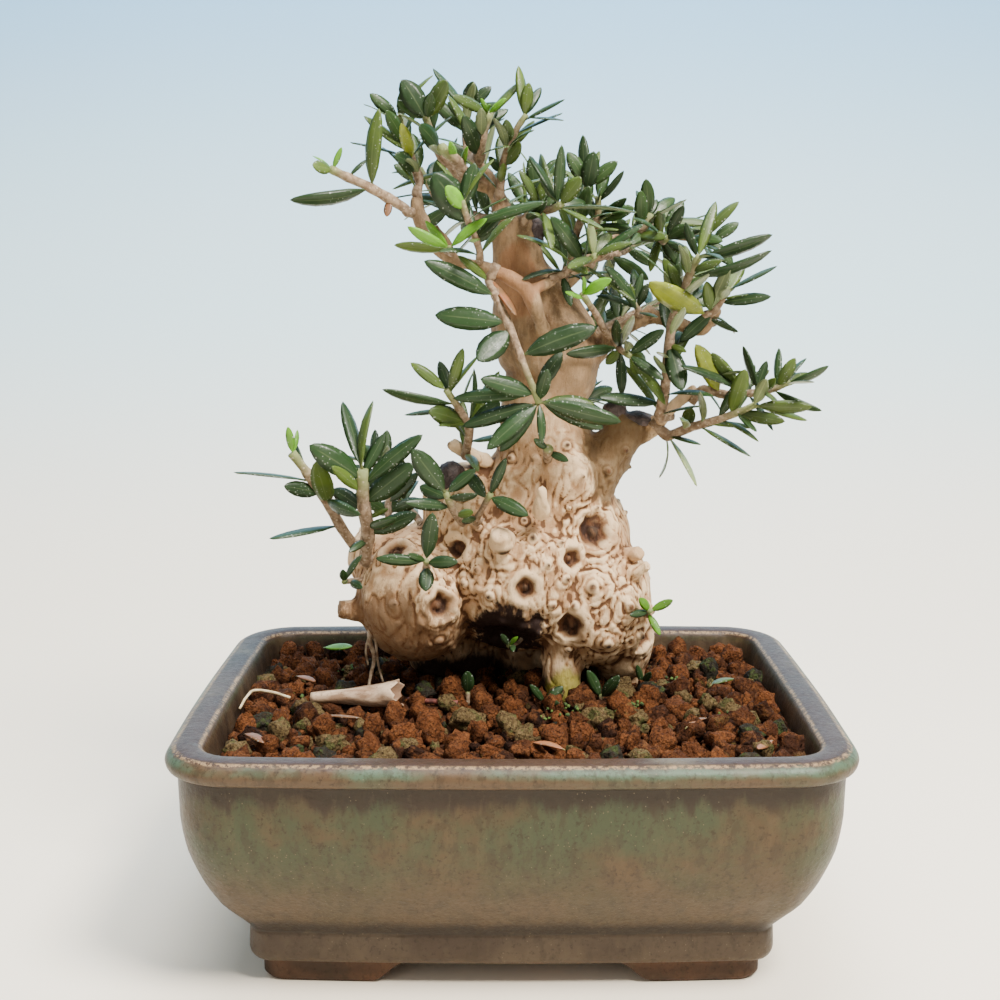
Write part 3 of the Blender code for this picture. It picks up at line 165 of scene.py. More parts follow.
def store(mesh, name, values):
    """A number at each corner point, for a material to read."""
    layer = mesh.attributes.new(name, "FLOAT", "POINT")
    layer.data.foreach_set("value", values)


# %% [markdown]
# ## Smooth lines
#
# Shoots, limbs and the pot's wall are each a few listed points. A Catmull-Rom curve goes
# through every one of them, so a point can be moved and the shape follows just there.

# %% Smooth lines
def between(a, b, c, d, share):
    return 0.5 * (2 * b + (c - a) * share + (2 * a - 5 * b + 4 * c - d) * share ** 2
                  + (3 * b - a - 3 * c + d) * share ** 3)


def smooth_route(route, steps):
    """The route's points and smooth points between them; a point may carry a radius too."""
    spots = [Vector(point) for point in route]
    padded = [2 * spots[0] - spots[1]] + spots + [2 * spots[-1] - spots[-2]]
    line = []
    for i in range(len(spots) - 1):
        for step in range(steps):
            line.append(between(*padded[i:i + 4], step / steps))
    line.append(spots[-1])
    return line


def stitch(shape, rows, caps=(0, -1), closed=True):
    """Faces between rows of corners, each a closed ring or an open line, and over capped rings."""
    count = len(rows[0])
    for near, far in zip(rows, rows[1:]):
        for i in range(count if closed else count - 1):
            j = (i + 1) % count
            shape.faces.new((near[i], near[j], far[j], far[i]))
    for end in caps:
        shape.faces.new(rows[end])


def tube(shape, line, sides, bark=0.0, seed=0.0):
    """Add a tube through points that carry a radius as their fourth number, both ends closed."""
    rings = []
    across = None
    for i, spot in enumerate(line):
        ahead = (line[min(i + 1, len(line) - 1)] - line[max(i - 1, 0)]).to_3d().normalized()
        if across is None:
            across = ahead.orthogonal().normalized()
        across = (across - ahead * across.dot(ahead)).normalized()
        rise = ahead.cross(across)
        ring = []
        for side in range(sides):
            angle = 2 * math.pi * side / sides
            way = across * math.cos(angle) + rise * math.sin(angle)
            rough = noise.noise(spot.to_3d() * 0.9 + way * 1.3 + Vector((seed,) * 3))
            reach = spot.w * (1 + bark * rough)
            ring.append(shape.verts.new((spot.to_3d() + way * reach) * MM))
        rings.append(ring)
    stitch(shape, rings)
    return rings


# %% [markdown]
# ## Node trees from a script
#
# A material or a Geometry Nodes tree is a net of nodes. One small helper makes a node, sets
# its plain values and links its inputs, so that each net reads as a list of steps.

# %% Node helpers
class Net:
    """A node tree that is being built."""

    def __init__(self, tree):
        self.tree = tree

    def add(self, kind, values=None, links=None, **settings):
        """A node of a kind, with settings, then plain input values, then linked inputs."""
        node = self.tree.nodes.new(kind)
        for key, value in settings.items():
            setattr(node, key, value)
        for key, value in (values or {}).items():
            node.inputs[key].default_value = value
        for key, source in (links or {}).items():
            self.tree.links.new(source, node.inputs[key])
        return node

    def put(self, slot, value):
        """Link a socket into an input, or set the input to a plain value."""
        if isinstance(value, bpy.types.NodeSocket):
            self.tree.links.new(value, slot)
        else:
            slot.default_value = value

    def mix(self, factor, first, second, blend="MIX"):
        """Mix two colours, each a socket or an RGB triple."""
        node = self.tree.nodes.new("ShaderNodeMix")
        node.data_type = "RGBA"
        node.blend_type = blend
        for index, value in ((0, factor), (6, first), (7, second)):
            self.put(node.inputs[index], (*value, 1.0) if isinstance(value, tuple) else value)
        return node.outputs[2]

    def math(self, operation, first, second=0.5, clamp=False):
        node = self.tree.nodes.new("ShaderNodeMath")
        node.operation = operation
        node.use_clamp = clamp
        self.put(node.inputs[0], first)
        self.put(node.inputs[1], second)
        return node.outputs[0]

    def coat(self, base, where, strength, colour):
        """The base colour, with another over it where a mask says, at a strength."""
        return self.mix(self.math("MULTIPLY", where, strength), base, colour)

    def swing(self, value, reach):
        """A noise of 0 to 1 made to swing about 0, by half the reach either way."""
        return self.math("MULTIPLY", self.math("SUBTRACT", value, 0.5), reach)

    def band(self, value, low, high):
        """0 below low and 1 above high; low may be the greater."""
        return self.add("ShaderNodeMapRange", {1: low, 2: high}, {0: value}, clamp=True,
                        interpolation_type="SMOOTHSTEP").outputs[0]

    def noise(self, place, scale, detail=4.0, rough=0.55, stretch=None, **settings):
        """Cloudy noise on object coordinates, scale in waves a metre, stretched if asked."""
        if stretch:
            place = self.add("ShaderNodeMapping", {"Scale": stretch}, {0: place}).outputs[0]
        node = self.add("ShaderNodeTexNoise", {"Scale": scale, "Detail": detail, "Roughness": rough},
                        {"Vector": place}, **settings)
        return node.outputs["Fac"]

    def cells(self, place, scale, feature="F1", output="Distance"):
        node = self.add("ShaderNodeTexVoronoi", {"Scale": scale}, {"Vector": place}, feature=feature)
        return node.outputs[output]

    def attribute(self, name):
        return self.add("ShaderNodeAttribute", attribute_name=name).outputs["Fac"]

    def bump(self, height, strength, distance, under=None):
        links = {"Height": height}
        if under is not None:
            links["Normal"] = under
        node = self.add("ShaderNodeBump", {"Strength": strength, "Distance": distance}, links)
        return node.outputs[0]


def new_finish(name):
    """A material with an empty Principled shader, its net, and its object coordinates."""
    finish = bpy.data.materials.new(name)
    finish.use_nodes = True
    net = Net(finish.node_tree)
    shader = finish.node_tree.nodes["Principled BSDF"]
    place = net.add("ShaderNodeTexCoord").outputs["Object"]
    return finish, net, shader, place


def wire(net, shader, colour, rough, specular=None, normal=None):
    """Give the shader its colour, its roughness as a number or a net, its gloss and its dents."""
    for name, value in (("Base Color", colour), ("Roughness", rough),
                        ("Specular IOR Level", specular), ("Normal", normal)):
        if value is not None:
            net.put(shader.inputs[name], value)


# %% [markdown]
# ## The glaze
#
# On the real pot one runny glaze gives the colours: verdigris green where it lies thick, olive
# brown where it thins, and mauve brown where it broke away under the rim, which is darkened
# further as painted shade under the overhanging rim. Cream along the rim's sharp edges is partly
# the glaze's own and partly a painted highlight. A number called wall, stored on the mesh, says
# how far round the wall's section a point lies, so that each colour keeps to its own part of the
# section, with noise along its border.

# %% Glaze
glaze, net, shader, place = new_finish("runny_glaze")
wall = net.attribute("wall")
height = net.add("ShaderNodeSeparateXYZ", links={0: place}).outputs[2]
cloud = net.noise(place, 48, 5, 0.6)
runs = net.noise(place, 230, 5, 0.6, stretch=(1, 1, 0.16))
fine = net.noise(place, 1100, 4, 0.7)
ragged = net.math("ADD", wall, net.swing(runs, 1.5))
body = net.mix(net.band(cloud, 0.40, 0.62), (0.080, 0.055, 0.027), (0.058, 0.055, 0.025))
body = net.coat(body, net.band(runs, 0.48, 0.62), 0.65, (0.100, 0.068, 0.034))
melt = net.math("ADD", height, net.swing(runs, 0.016))
body = net.coat(body, net.band(melt, 0.030, 0.016), 0.7, (0.078, 0.055, 0.030))
high_green = net.math("MULTIPLY", net.band(melt, 0.020, 0.036), net.band(cloud, 0.38, 0.58))
body = net.coat(body, high_green, 0.75, (0.046, 0.072, 0.038))

# %% Glaze along the rim and the foot
# Dark brown under the rim: partly glaze that broke away, partly painted shade under the overhanging rim
under_rim_shade_and_bare = net.math("MULTIPLY", net.band(ragged, 12.45, 12.80), net.band(wall, 14.3, 13.9))
body = net.coat(body, under_rim_shade_and_bare, 0.9, (0.030, 0.019, 0.013))
rim_side = net.math("MULTIPLY", net.band(wall, 13.7, 14.0), net.band(wall, 17.2, 16.8))
side_colour = net.mix(net.band(cloud, 0.44, 0.62), (0.108, 0.072, 0.042), (0.084, 0.084, 0.050))
side_colour = net.mix(net.math("MULTIPLY", net.band(ragged, 14.9, 15.8), net.band(cloud, 0.34, 0.52)),
                      side_colour, (0.088, 0.150, 0.104))
body = net.mix(rim_side, body, side_colour)
rim_top = net.math("MULTIPLY", net.band(ragged, 16.1, 16.7), net.band(wall, 19.3, 18.9))
top_colour = net.mix(net.band(cloud, 0.50, 0.66), (0.064, 0.038, 0.028), (0.135, 0.112, 0.078))
body = net.mix(rim_top, body, top_colour)
# Cream along the rim's rounded top edges: partly the glaze's own edge colour, partly a painted highlight
edges = net.math("MAXIMUM", net.math("MULTIPLY", net.band(wall, 16.3, 16.6), net.band(wall, 17.0, 16.75)),
                 net.math("MULTIPLY", net.band(wall, 18.3, 18.6), net.band(wall, 19.0, 18.75)))
edges = net.math("MULTIPLY", edges, net.band(fine, 0.42, 0.60))
body = net.coat(body, edges, 0.95, (0.480, 0.350, 0.200))
inside = net.mix(net.band(runs, 0.35, 0.7), (0.040, 0.027, 0.019), (0.105, 0.074, 0.046))
body = net.mix(net.band(wall, 19.1, 19.6), body, inside)
foot_line = net.math("MULTIPLY", net.band(ragged, 8.4, 7.9), net.band(ragged, 5.2, 5.6))
foot_colour = net.mix(net.band(cloud, 0.4, 0.62), (0.058, 0.040, 0.027), (0.090, 0.068, 0.046))
body = net.mix(foot_line, body, foot_colour)
joint = net.math("ADD", wall, net.swing(runs, 0.5))
ridge = net.math("MULTIPLY", net.band(joint, 7.3, 7.8), net.band(joint, 8.6, 8.2))
body = net.coat(body, ridge, 0.92, (0.020, 0.014, 0.010))
clay = net.mix(net.band(cloud, 0.4, 0.62), (0.052, 0.031, 0.020), (0.115, 0.058, 0.032))
body = net.mix(net.band(ragged, 5.4, 4.7), body, clay)

# %% Specks, shine and dents in the glaze
specks = net.cells(place, 950)
mottle = net.noise(place, 420, 6, 0.7, stretch=(1, 1, 0.45))
body = net.coat(body, net.band(mottle, 0.50, 0.60), 0.45, (0.040, 0.029, 0.016))
body = net.coat(body, net.band(mottle, 0.44, 0.36), 0.18, (0.115, 0.092, 0.052))
pale_specks = net.math("MULTIPLY", net.band(specks, 0.13, 0.08), net.band(cloud, 0.46, 0.56))
body = net.coat(body, pale_specks, 0.5, (0.26, 0.21, 0.14))
body = net.coat(body, net.band(fine, 0.54, 0.68), 0.55, (0.024, 0.016, 0.010))
body = net.mix(1.0, body, (0.68, 0.62, 0.56), "MULTIPLY")
bare = net.band(wall, 4.8, 5.3)
shine = net.math("SUBTRACT", net.math("MULTIPLY_ADD", fine, 0.30), net.math("MULTIPLY", bare, 0.22))
dents = net.bump(net.noise(place, 130, 3), 0.22, 0.0012)
dents = net.bump(net.math("ADD", fine, net.math("MULTIPLY", specks, 0.25)), 0.30, 0.00035, dents)
wire(net, shader, body, shine, 0.26, dents)
print("glaze:", len(net.tree.nodes), "nodes")

# %% [markdown]
# ## The pot
#
# A press-moulded pot is one section carried round an oblong plan, so it is lofted: each ring is
# the plan moved in by so much at such a height. The rings are the solid's own, with smooth ones
# between, and the arches between the feet and the two drainage holes are cut last.

# %% Pot
RIM_WIDTH, RIM_DEPTH = 130.0, 100.0
CORNER_RADIUS, LEAST_CORNER_RADIUS = 14.0, 4.5
LONG_SIDE_BOW, SHORT_SIDE_BOW = 1.2, 0.5
WALL_PROFILE = (
    (23.0, 5.2), (22.4, 0.0), (16.6, 0.0), (16.0, 0.9), (15.9, 4.5), (14.3, 5.2), (13.7, 7.0),
    (13.8, 10.6), (13.6, 12.0), (9.2, 18.2), (6.2, 23.0), (3.5, 29.5), (2.4, 36.0), (2.2, 44.9),
    (0.5, 45.7), (0.0, 47.2), (0.7, 48.6), (2.4, 49.5), (5.4, 49.5), (7.0, 48.6), (7.9, 44.5),
    (8.9, 34.0), (11.6, 25.5), (16.4, 16.5), (21.0, 11.8), (25.0, 10.5),
)
ARCH_HEIGHT, ARCH_SHOULDER = 4.5, 8.0
ARCHES = ((28.0, 0.0), (13.0, math.pi / 2))
DRAIN_X, DRAIN_RADIUS = 20.0, 4.5


def oblong(inset, height, straight_steps=22, corner_steps=12):
    """The plan of the pot, moved in by inset: bowed sides and round corners."""
    radius = max(CORNER_RADIUS - inset, LEAST_CORNER_RADIUS)
    half_width = RIM_WIDTH / 2 - SHORT_SIDE_BOW - inset
    half_depth = RIM_DEPTH / 2 - LONG_SIDE_BOW - inset
    sides = ((half_width, half_depth, SHORT_SIDE_BOW), (half_depth, half_width, LONG_SIDE_BOW))
    points = []
    for quarter in range(4):
        out, along, bow = sides[quarter % 2]
        turn = Matrix.Rotation(quarter * math.pi / 2, 3, "Z")
        straight = along - radius
        for step in range(straight_steps):
            share = 2 * step / straight_steps - 1
            points.append(turn @ Vector((out + bow * (1 - share * share), share * straight, height)))
        for step in range(corner_steps):
            angle = math.pi / 2 * step / corner_steps
            corner = Vector((math.cos(angle), math.sin(angle), 0)) * radius
            points.append(turn @ (Vector((out - radius, straight, height)) + corner))
    return points


SHARP_RUNS = (0, 1, 2, 12, 13, 24)


def wall_section():
    """Inset, height and place along the section, with smooth steps between the solid's rings."""
    steps = 4
    padded = [Vector(point) for point in (WALL_PROFILE[0],) + WALL_PROFILE + (WALL_PROFILE[-1],)]
    section = []
    for i in range(len(WALL_PROFILE) - 1):
        for step in range(steps):
            share = step / steps
            spot = between(*padded[i:i + 4], share)
            straight = padded[i + 1].lerp(padded[i + 2], share)
            spot = straight if i in SHARP_RUNS else straight.lerp(spot, 0.8)
            section.append((spot.x, max(spot.y, 0.0), i + share))
    section.append((*WALL_PROFILE[-1], len(WALL_PROFILE) - 1))
    return section


def cutter(outlines):
    shape = bmesh.new()
    rows = [[shape.verts.new(point * MM) for point in outline] for outline in outlines]
    stitch(shape, rows)
    return finished("cutter", shape, [glaze], smooth=False)


def pot_cutters():
    cutters = []
    for half_width, angle in ARCHES:
        turn = Matrix.Rotation(angle, 3, "Z")
        half = [(half_width, -1.0), (half_width, 0.0)]
        for step in range(1, 9):
            rise = (1 - math.cos(math.pi * step / 8)) / 2
            half.append((half_width - ARCH_SHOULDER * step / 8, ARCH_HEIGHT * rise))
        outline = half + [(-x, z) for x, z in reversed(half)]
        cutters.append(cutter([[turn @ Vector((x, y, z)) for x, z in outline] for y in (-90, 90)]))
    for x in (-DRAIN_X, DRAIN_X):
        turns = [2 * math.pi * step / 32 for step in range(32)]
        cutters.append(cutter([[Vector((x + DRAIN_RADIUS * math.cos(t), DRAIN_RADIUS * math.sin(t), z))
                                for t in turns] for z in (-2, 20)]))
    return cutters


def make_pot():
    section = wall_section()
    shape = bmesh.new()
    wall_layer = shape.verts.layers.float.new("wall")
    rows = []
    for inset, height, along in section:
        row = []
        for point in oblong(inset, height):
            wobble = noise.noise(point * 0.035) * 0.25 * spread(height, 4, 12)
            point = point * (1 - wobble * 0.004)
            corner = shape.verts.new(point * MM)
            corner[wall_layer] = along
            row.append(corner)
        rows.append(row)
    stitch(shape, rows)
    pot = finished("glazed_pot", shape, [glaze])
    tools = bpy.data.collections.new("cutters")
    for thing in pot_cutters():
        tools.objects.link(thing)
    cut = pot.modifiers.new("feet_and_drains", "BOOLEAN")
    cut.operation = "DIFFERENCE"
    cut.operand_type = "COLLECTION"
    cut.collection = tools
    cut.solver = "EXACT"
    settle(pot)
    for thing in list(tools.objects):
        discard(thing)
    bpy.data.collections.remove(tools)
    pot.data.set_sharp_from_angle(angle=math.radians(50))
    take_place(pot, "glaze", "pot")
    return pot


pot = make_pot()

# %% [markdown]
# ## Soil grains
#
# The soil is baked red clay, broken and sieved to grains of 3 to 6 mm, with crumbs between. Each
# grain is a rough, angular lump, so a few lumps are made once, with a few dozen faces each, and
# a Geometry Nodes tree scatters them over the soil's surface. A bed a little below keeps the
# light from shining through the gaps.

# %% Grain finish
grain, net, shader, place = new_finish("clay_grain")
shade = net.attribute("shade")
moss_share = net.attribute("mossy")
patch = net.noise(place, 420, 4)
grit = net.noise(place, 1900, 4, 0.7)
red = net.mix(shade, (0.018, 0.008, 0.005), (0.160, 0.054, 0.018))
red = net.coat(red, net.band(patch, 0.45, 0.62), 0.5, (0.210, 0.078, 0.027))
tan = net.mix(patch, (0.080, 0.054, 0.022), (0.210, 0.145, 0.065))
dark = net.mix(patch, (0.010, 0.011, 0.009), (0.045, 0.040, 0.028))
colour = net.mix(net.band(moss_share, 0.86, 0.87), red, tan)
colour = net.mix(net.band(moss_share, 0.95, 0.96), colour, dark)
algae = net.math("MULTIPLY", net.band(patch, 0.50, 0.62), net.band(moss_share, 0.78, 0.90))
colour = net.coat(colour, algae, 0.7, (0.050, 0.075, 0.020))
colour = net.coat(colour, net.band(grit, 0.46, 0.62), 0.7, (0.022, 0.009, 0.006))
colour = net.coat(colour, net.band(grit, 0.64, 0.74), 0.45, (0.480, 0.270, 0.140))
pits = net.bump(net.cells(place, 1400), 0.9, 0.0007)
wire(net, shader, colour, 0.92, 0.10, net.bump(net.noise(place, 800, 5, 0.65), 1.0, 0.0016, pits))
print("grain finish:", len(net.tree.nodes), "nodes")

bed_finish, net, shader, place = new_finish("soil_bed")
wire(net, shader, net.mix(net.noise(place, 500), (0.012, 0.007, 0.005), (0.060, 0.024, 0.013)), 1.0, 0.05)

# %% Soil bed
TREE_AXIS = (5.0, 10.0)
SOIL_LEVEL, SOIL_MOUND, SOIL_INSET = 44.6, 1.8, 8.4
BED_DEPTH = 1.3
BED_RINGS = (0.0, 0.06, 0.14, 0.24, 0.36, 0.48, 0.6, 0.72, 0.84, 0.94)
COARSE_PLAN = (8, 5)    # steps of the soil's plan along a side and round a corner
SOIL_SIDES = ((25.2, 10.8), (21.4, 12.1), (16.8, 16.8), (12.0, 25.8), (9.3, 34.2))


def ground(x, y):
    """Height of the soil between its grains, with the dips of a surface that settled."""
    near_trunk = math.hypot((x - TREE_AXIS[0]) / 40, (y - TREE_AXIS[1]) / 30)
    mound = SOIL_MOUND * math.exp(-near_trunk * near_trunk)
    return SOIL_LEVEL + mound + 0.8 * noise.noise(Vector((x, y, 0)) * 0.06)


def ground_rings(shape, inset, drop, shares):
    """Rings of corners at a drop below the soil's level, each a share of the way to the middle."""
    rings = []
    for share in shares:
        ring = []
        for point in oblong(inset, SOIL_LEVEL, *COARSE_PLAN):
            spot = point.lerp(Vector((0, 0, 0)), share)
            spot.z = ground(spot.x, spot.y) - drop
            ring.append(shape.verts.new(spot * MM))
        rings.append(ring)
    return rings


def make_bed():
    """The bulk of the soil: the pot's inner form, closed over the top by rings."""
    shape = bmesh.new()
    rows = [[shape.verts.new(point * MM) for point in oblong(inset, height, *COARSE_PLAN)]
            for inset, height in SOIL_SIDES]
    stitch(shape, rows + ground_rings(shape, SOIL_INSET, BED_DEPTH, BED_RINGS))
    return finished("soil_bed", shape, [bed_finish])


bed = make_bed()
print("soil bed:", len(bed.data.polygons), "faces")

# %% Grain shapes
def make_pebbles(name, count, fineness, seed):
    """Rough lumps one unit across, for the scattering tree to pick from."""
    draw = random.Random(seed)
    pebbles = []
    for number in range(count):
        shape = bmesh.new()
        bmesh.ops.create_icosphere(shape, subdivisions=fineness, radius=0.5)
        shift = Vector((draw.uniform(0, 99), draw.uniform(0, 99), draw.uniform(0, 99)))
        flat = Vector((1, draw.uniform(0.65, 0.92), draw.uniform(0.55, 0.85)))
        for corner in shape.verts:
            way = corner.co.normalized()
            lumps = 1 + 0.55 * noise.noise(way * 1.5 + shift) + 0.42 * noise.noise(way * 3.4 + shift)
            corner.co = Vector(a * b for a, b in zip(corner.co * lumps, flat))
        pebbles.append(finished("%s_%d" % (name, number), shape, [grain]))
    return pebbles


pebbles = make_pebbles("pebble", 8, 2, 3)
crumbs = make_pebbles("crumb", 5, 1, 8)
print("pebbles of", len(pebbles[0].data.polygons), "faces, crumbs of", len(crumbs[0].data.polygons))

# %% [markdown]
# ## The scattering tree
#
# Distribute Points spreads the grains, Instance on Points puts a lump on each, turned and
# sized at random, and Realize Instances makes one mesh of them all. The tree's inputs are the
# spacing, the sizes and the seed, so the same tree lays a fine layer and then a coarse one.

# %% Scattering tree
def group_input(tree, name, kind, value=None):
    socket = tree.interface.new_socket(name=name, in_out="INPUT", socket_type=kind)
    if value is not None:
        socket.default_value = value
    return socket.identifier


def new_tree(name):
    tree = bpy.data.node_groups.new(name, "GeometryNodeTree")
    tree.interface.new_socket(name="Geometry", in_out="INPUT", socket_type="NodeSocketGeometry")
    tree.interface.new_socket(name="Geometry", in_out="OUTPUT", socket_type="NodeSocketGeometry")
    return tree


def scatter_tree():
    tree = new_tree("scatter_grains")
    ids = {
        "spacing": group_input(tree, "Spacing", "NodeSocketFloat", 3.0 * MM),
        "least": group_input(tree, "Least size", "NodeSocketFloat", 2.5 * MM),
        "greatest": group_input(tree, "Greatest size", "NodeSocketFloat", 4.0 * MM),
        "seed": group_input(tree, "Seed", "NodeSocketInt", 1),
        "finish": group_input(tree, "Finish", "NodeSocketMaterial"),
        "pebbles": group_input(tree, "Pebbles", "NodeSocketCollection"),
    }
    net = Net(tree)
    given = net.add("NodeGroupInput").outputs
    spread_out = net.add(
        "GeometryNodeDistributePointsOnFaces", {"Density Max": 400000.0, "Density Factor": 1.0},
        {"Mesh": given["Geometry"], "Distance Min": given["Spacing"], "Seed": given["Seed"]},
        distribute_method="POISSON")
    lumps = net.add("GeometryNodeCollectionInfo", {"Separate Children": True, "Reset Children": True},
                    {"Collection": given["Pebbles"]})
    turn = net.add("FunctionNodeRandomValue", {0: (0, 0, 0), 1: (6.283, 6.283, 6.283)},
                   {"Seed": given["Seed"]}, data_type="FLOAT_VECTOR")
    size = net.add("FunctionNodeRandomValue", None,
                   {2: given["Least size"], 3: given["Greatest size"], "Seed": given["Seed"]},
                   data_type="FLOAT")
    placed = net.add("GeometryNodeInstanceOnPoints", {"Pick Instance": True},
                     {"Points": spread_out.outputs["Points"], "Instance": lumps.outputs[0],
                      "Rotation": turn.outputs[0], "Scale": size.outputs[1]})
    marked = placed.outputs[0]
    for name, seed_step in (("shade", 17.0), ("mossy", 31.0)):
        seed = net.add("ShaderNodeMath", {1: seed_step}, {0: given["Seed"]}, operation="ADD").outputs[0]
        drawn = net.add("FunctionNodeRandomValue", {2: 0.0, 3: 1.0}, {"Seed": seed}, data_type="FLOAT")
        marked = net.add("GeometryNodeStoreNamedAttribute", {"Name": name},
                         {"Geometry": marked, "Value": drawn.outputs[1]},
                         data_type="FLOAT", domain="INSTANCE").outputs[0]
    real = net.add("GeometryNodeRealizeInstances", None, {0: marked})
    coated = net.add("GeometryNodeSetMaterial", None,
                     {"Geometry": real.outputs[0], "Material": given["Finish"]})
    net.add("NodeGroupOutput", None, {0: coated.outputs[0]})
    return tree, ids


def group_of(name, objects):
    """A collection of template objects, kept out of the scene."""
    group = bpy.data.collections.new(name)
    for thing in objects:
        bpy.context.scene.collection.objects.unlink(thing)
        group.objects.link(thing)
    return group


pebble_group = group_of("pebbles", pebbles)
crumb_group = group_of("crumbs", crumbs)
scatter, scatter_ids = scatter_tree()
print("scattering tree:", len(scatter.nodes), "nodes")

# %% Lay the grains
def soil_patch(drop, inset):
    """The soil's surface as a sheet, for a layer of grains to be scattered on."""
    shape = bmesh.new()
    shares = [min(step / 12, 0.98) for step in range(13)]
    stitch(shape, ground_rings(shape, inset, drop, shares), caps=(-1,))
    return finished("grain_layer", shape, [grain])


def lay_grains(name, lumps, drop, inset, spacing, least, greatest, seed):
    layer = soil_patch(drop, inset)
    layer.name = name
    run_tree(layer, scatter, scatter_ids, spacing=spacing * MM, least=least * MM,
             greatest=greatest * MM, seed=seed, finish=grain, pebbles=lumps)
    print(name, len(layer.data.polygons), "faces")
    return layer


layers = [
    lay_grains("grain_crumbs", crumb_group, 0.75, 9.2, 1.75, 1.3, 2.6, 2),
    lay_grains("grain_middle", pebble_group, 0.2, 10.2, 3.4, 2.6, 4.4, 5),
    lay_grains("grain_coarse", pebble_group, -0.8, 11.0, 5.8, 4.2, 7.0, 9),
]


def joined(name, pieces):
    """One object of several, each keeping its own materials and attributes."""
    with bpy.context.temp_override(active_object=pieces[0], selected_editable_objects=pieces):
        bpy.ops.object.join()
    pieces[0].name = name
    pieces[0].data.name = name
    return pieces[0]


soil = joined("soil_grains", layers)
ride_along(bed)
take_place(soil, "earth", "soil")

# %% [markdown]
# ## The trunk's form
#
# An old olive trunk is a heap of swellings that grew into each other, with thick stems rising
# out of it. So rounded lumps and tapering tubes are merged, a voxel remesh gives them one skin,
# and smoothing melts the seams as new wood does. The thin limbs go on after that, or the
# smoothing would starve them. The tables are the solid's own, at a finer voxel.

# %% Trunk tables
TRUNK_LUMPS = (
    ((-20, 9, 67), (13, 15, 14.5)), ((-27, 12, 74), (8, 9, 8)), ((2, 12, 72), (18, 18, 18)),
    ((6, 12, 86), (14, 13, 13)), ((-9, 12, 84), (10, 12, 11)), ((18, 10, 66), (12.5, 14, 15)),
    ((24, 14, 56), (7.5, 10, 10)), ((17, 12, 78), (9, 11, 12)), ((-12, 22, 54), (12, 10, 14)),
    ((6, 24, 52), (12, 9, 14)), ((24, 16, 46), (6, 7, 8)), ((12, 3, 93), (6, 5, 6)),
)
ROOT_HOLLOW = ((-2, -3, 56.5), (7, 9, 6.5))

# Thick stems that the trunk's own mass takes in: points, each with its radius
TRUNK_STEMS = (
    ((7, 12, 90, 13), (7.7, 11, 97, 11.2), (6.5, 10, 103, 9.2), (6.5, 10, 109, 8.4),
     (8.5, 10, 114, 9.6), (8, 10, 119, 10.6), (5.6, 10, 125, 10.2), (3.4, 9, 131, 7.8),
     (1.6, 8.5, 136, 5.8), (1, 8, 140, 5), (0, 8, 146.5, 4.2)),
    ((11.5, 4, 66, 5.5), (11.2, 3.8, 56, 4.3), (11, 4.2, 48, 4.2), (11, 5, 40, 3.2)),
    ((13, 9, 86, 7), (20, 9, 96, 4.9), (25.5, 9, 105, 4.5)),
    ((-22, 9, 64.5, 4.5), (-30, 6.5, 64, 2.9), (-35, 5, 64.5, 2.2)),
    ((12, 11, 116, 5), (19.2, 8, 119.8, 2.6)),
    ((4, 13, 126, 5), (9, 14.5, 130.5, 2.8)),
    ((0, 9, 143, 3.5), (-2.6, 10, 149, 2.3)),
)

# Thin limbs joined on to the trunk, in the same form
LIMBS = (
    ((8, 3, 119, 2.0), (5.6, -2.2, 126.5, 1.4), (3.3, -2.8, 131.5, 1.7), (-1, -2.4, 134.6, 1.3),
     (-6, -1.4, 136.3, 1.4), (-12, -0.6, 138, 1.3), (-15.5, 0, 141, 1.4), (-18.5, 1.5, 146.5, 1.6),
     (-19, 2, 150, 1.1)),
    ((3.3, -2.8, 131.5, 1.2), (7, -0.5, 133, 1.1), (9.5, 1.5, 134, 0.9)),
    ((-11.8, -0.6, 138, 1.1), (-13, -2.5, 141, 1.1), (-15.2, -4.5, 144, 1.1)),
    ((-1, 9.5, 147, 2.0), (-4.7, 10, 154, 1.5), (-7.5, 9.6, 157.5, 1.3)),
    ((-3.9, 10, 152, 1.3), (-8, 7.5, 153, 1.1), (-11, 6, 153.2, 1.0)),
    ((7, 13.5, 129, 2.2), (14.8, 18, 135.8, 1.7), (22.3, 20, 141.7, 1.4), (30, 20, 144.2, 1.1)),
    ((18, 8.5, 119, 2.3), (22.1, 6, 123, 1.8), (28.1, 5, 125.9, 1.6), (32.9, 4, 125.1, 1.4),
     (38.7, 3, 123.7, 1.4), (41.9, 3, 128, 1.0)),
    ((27.6, 5, 125.7, 1.6), (29.2, 4, 128, 1.5)),
    ((24, 9, 101, 3.2), (29, 8.3, 102.6, 2.2), (33.5, 6, 107.3, 1.5), (38.3, 4, 111.6, 1.3)),
    ((-1.5, 0, 79.5, 2.6), (-2, -7.6, 83, 1.5)),
    ((20, 8, 74, 2.2), (27, 2, 77.5, 1.3)),
    ((-5, 9, 95, 2.0), (-12.3, 6.5, 99.6, 1.2)),
    ((9, 15, 105, 2.6), (11, 21, 108, 1.6)),
    ((-18, 20, 74, 2.4), (-21.5, 26, 78.5, 1.5)),
)

Knot = namedtuple("Knot", "x z radius height dip")
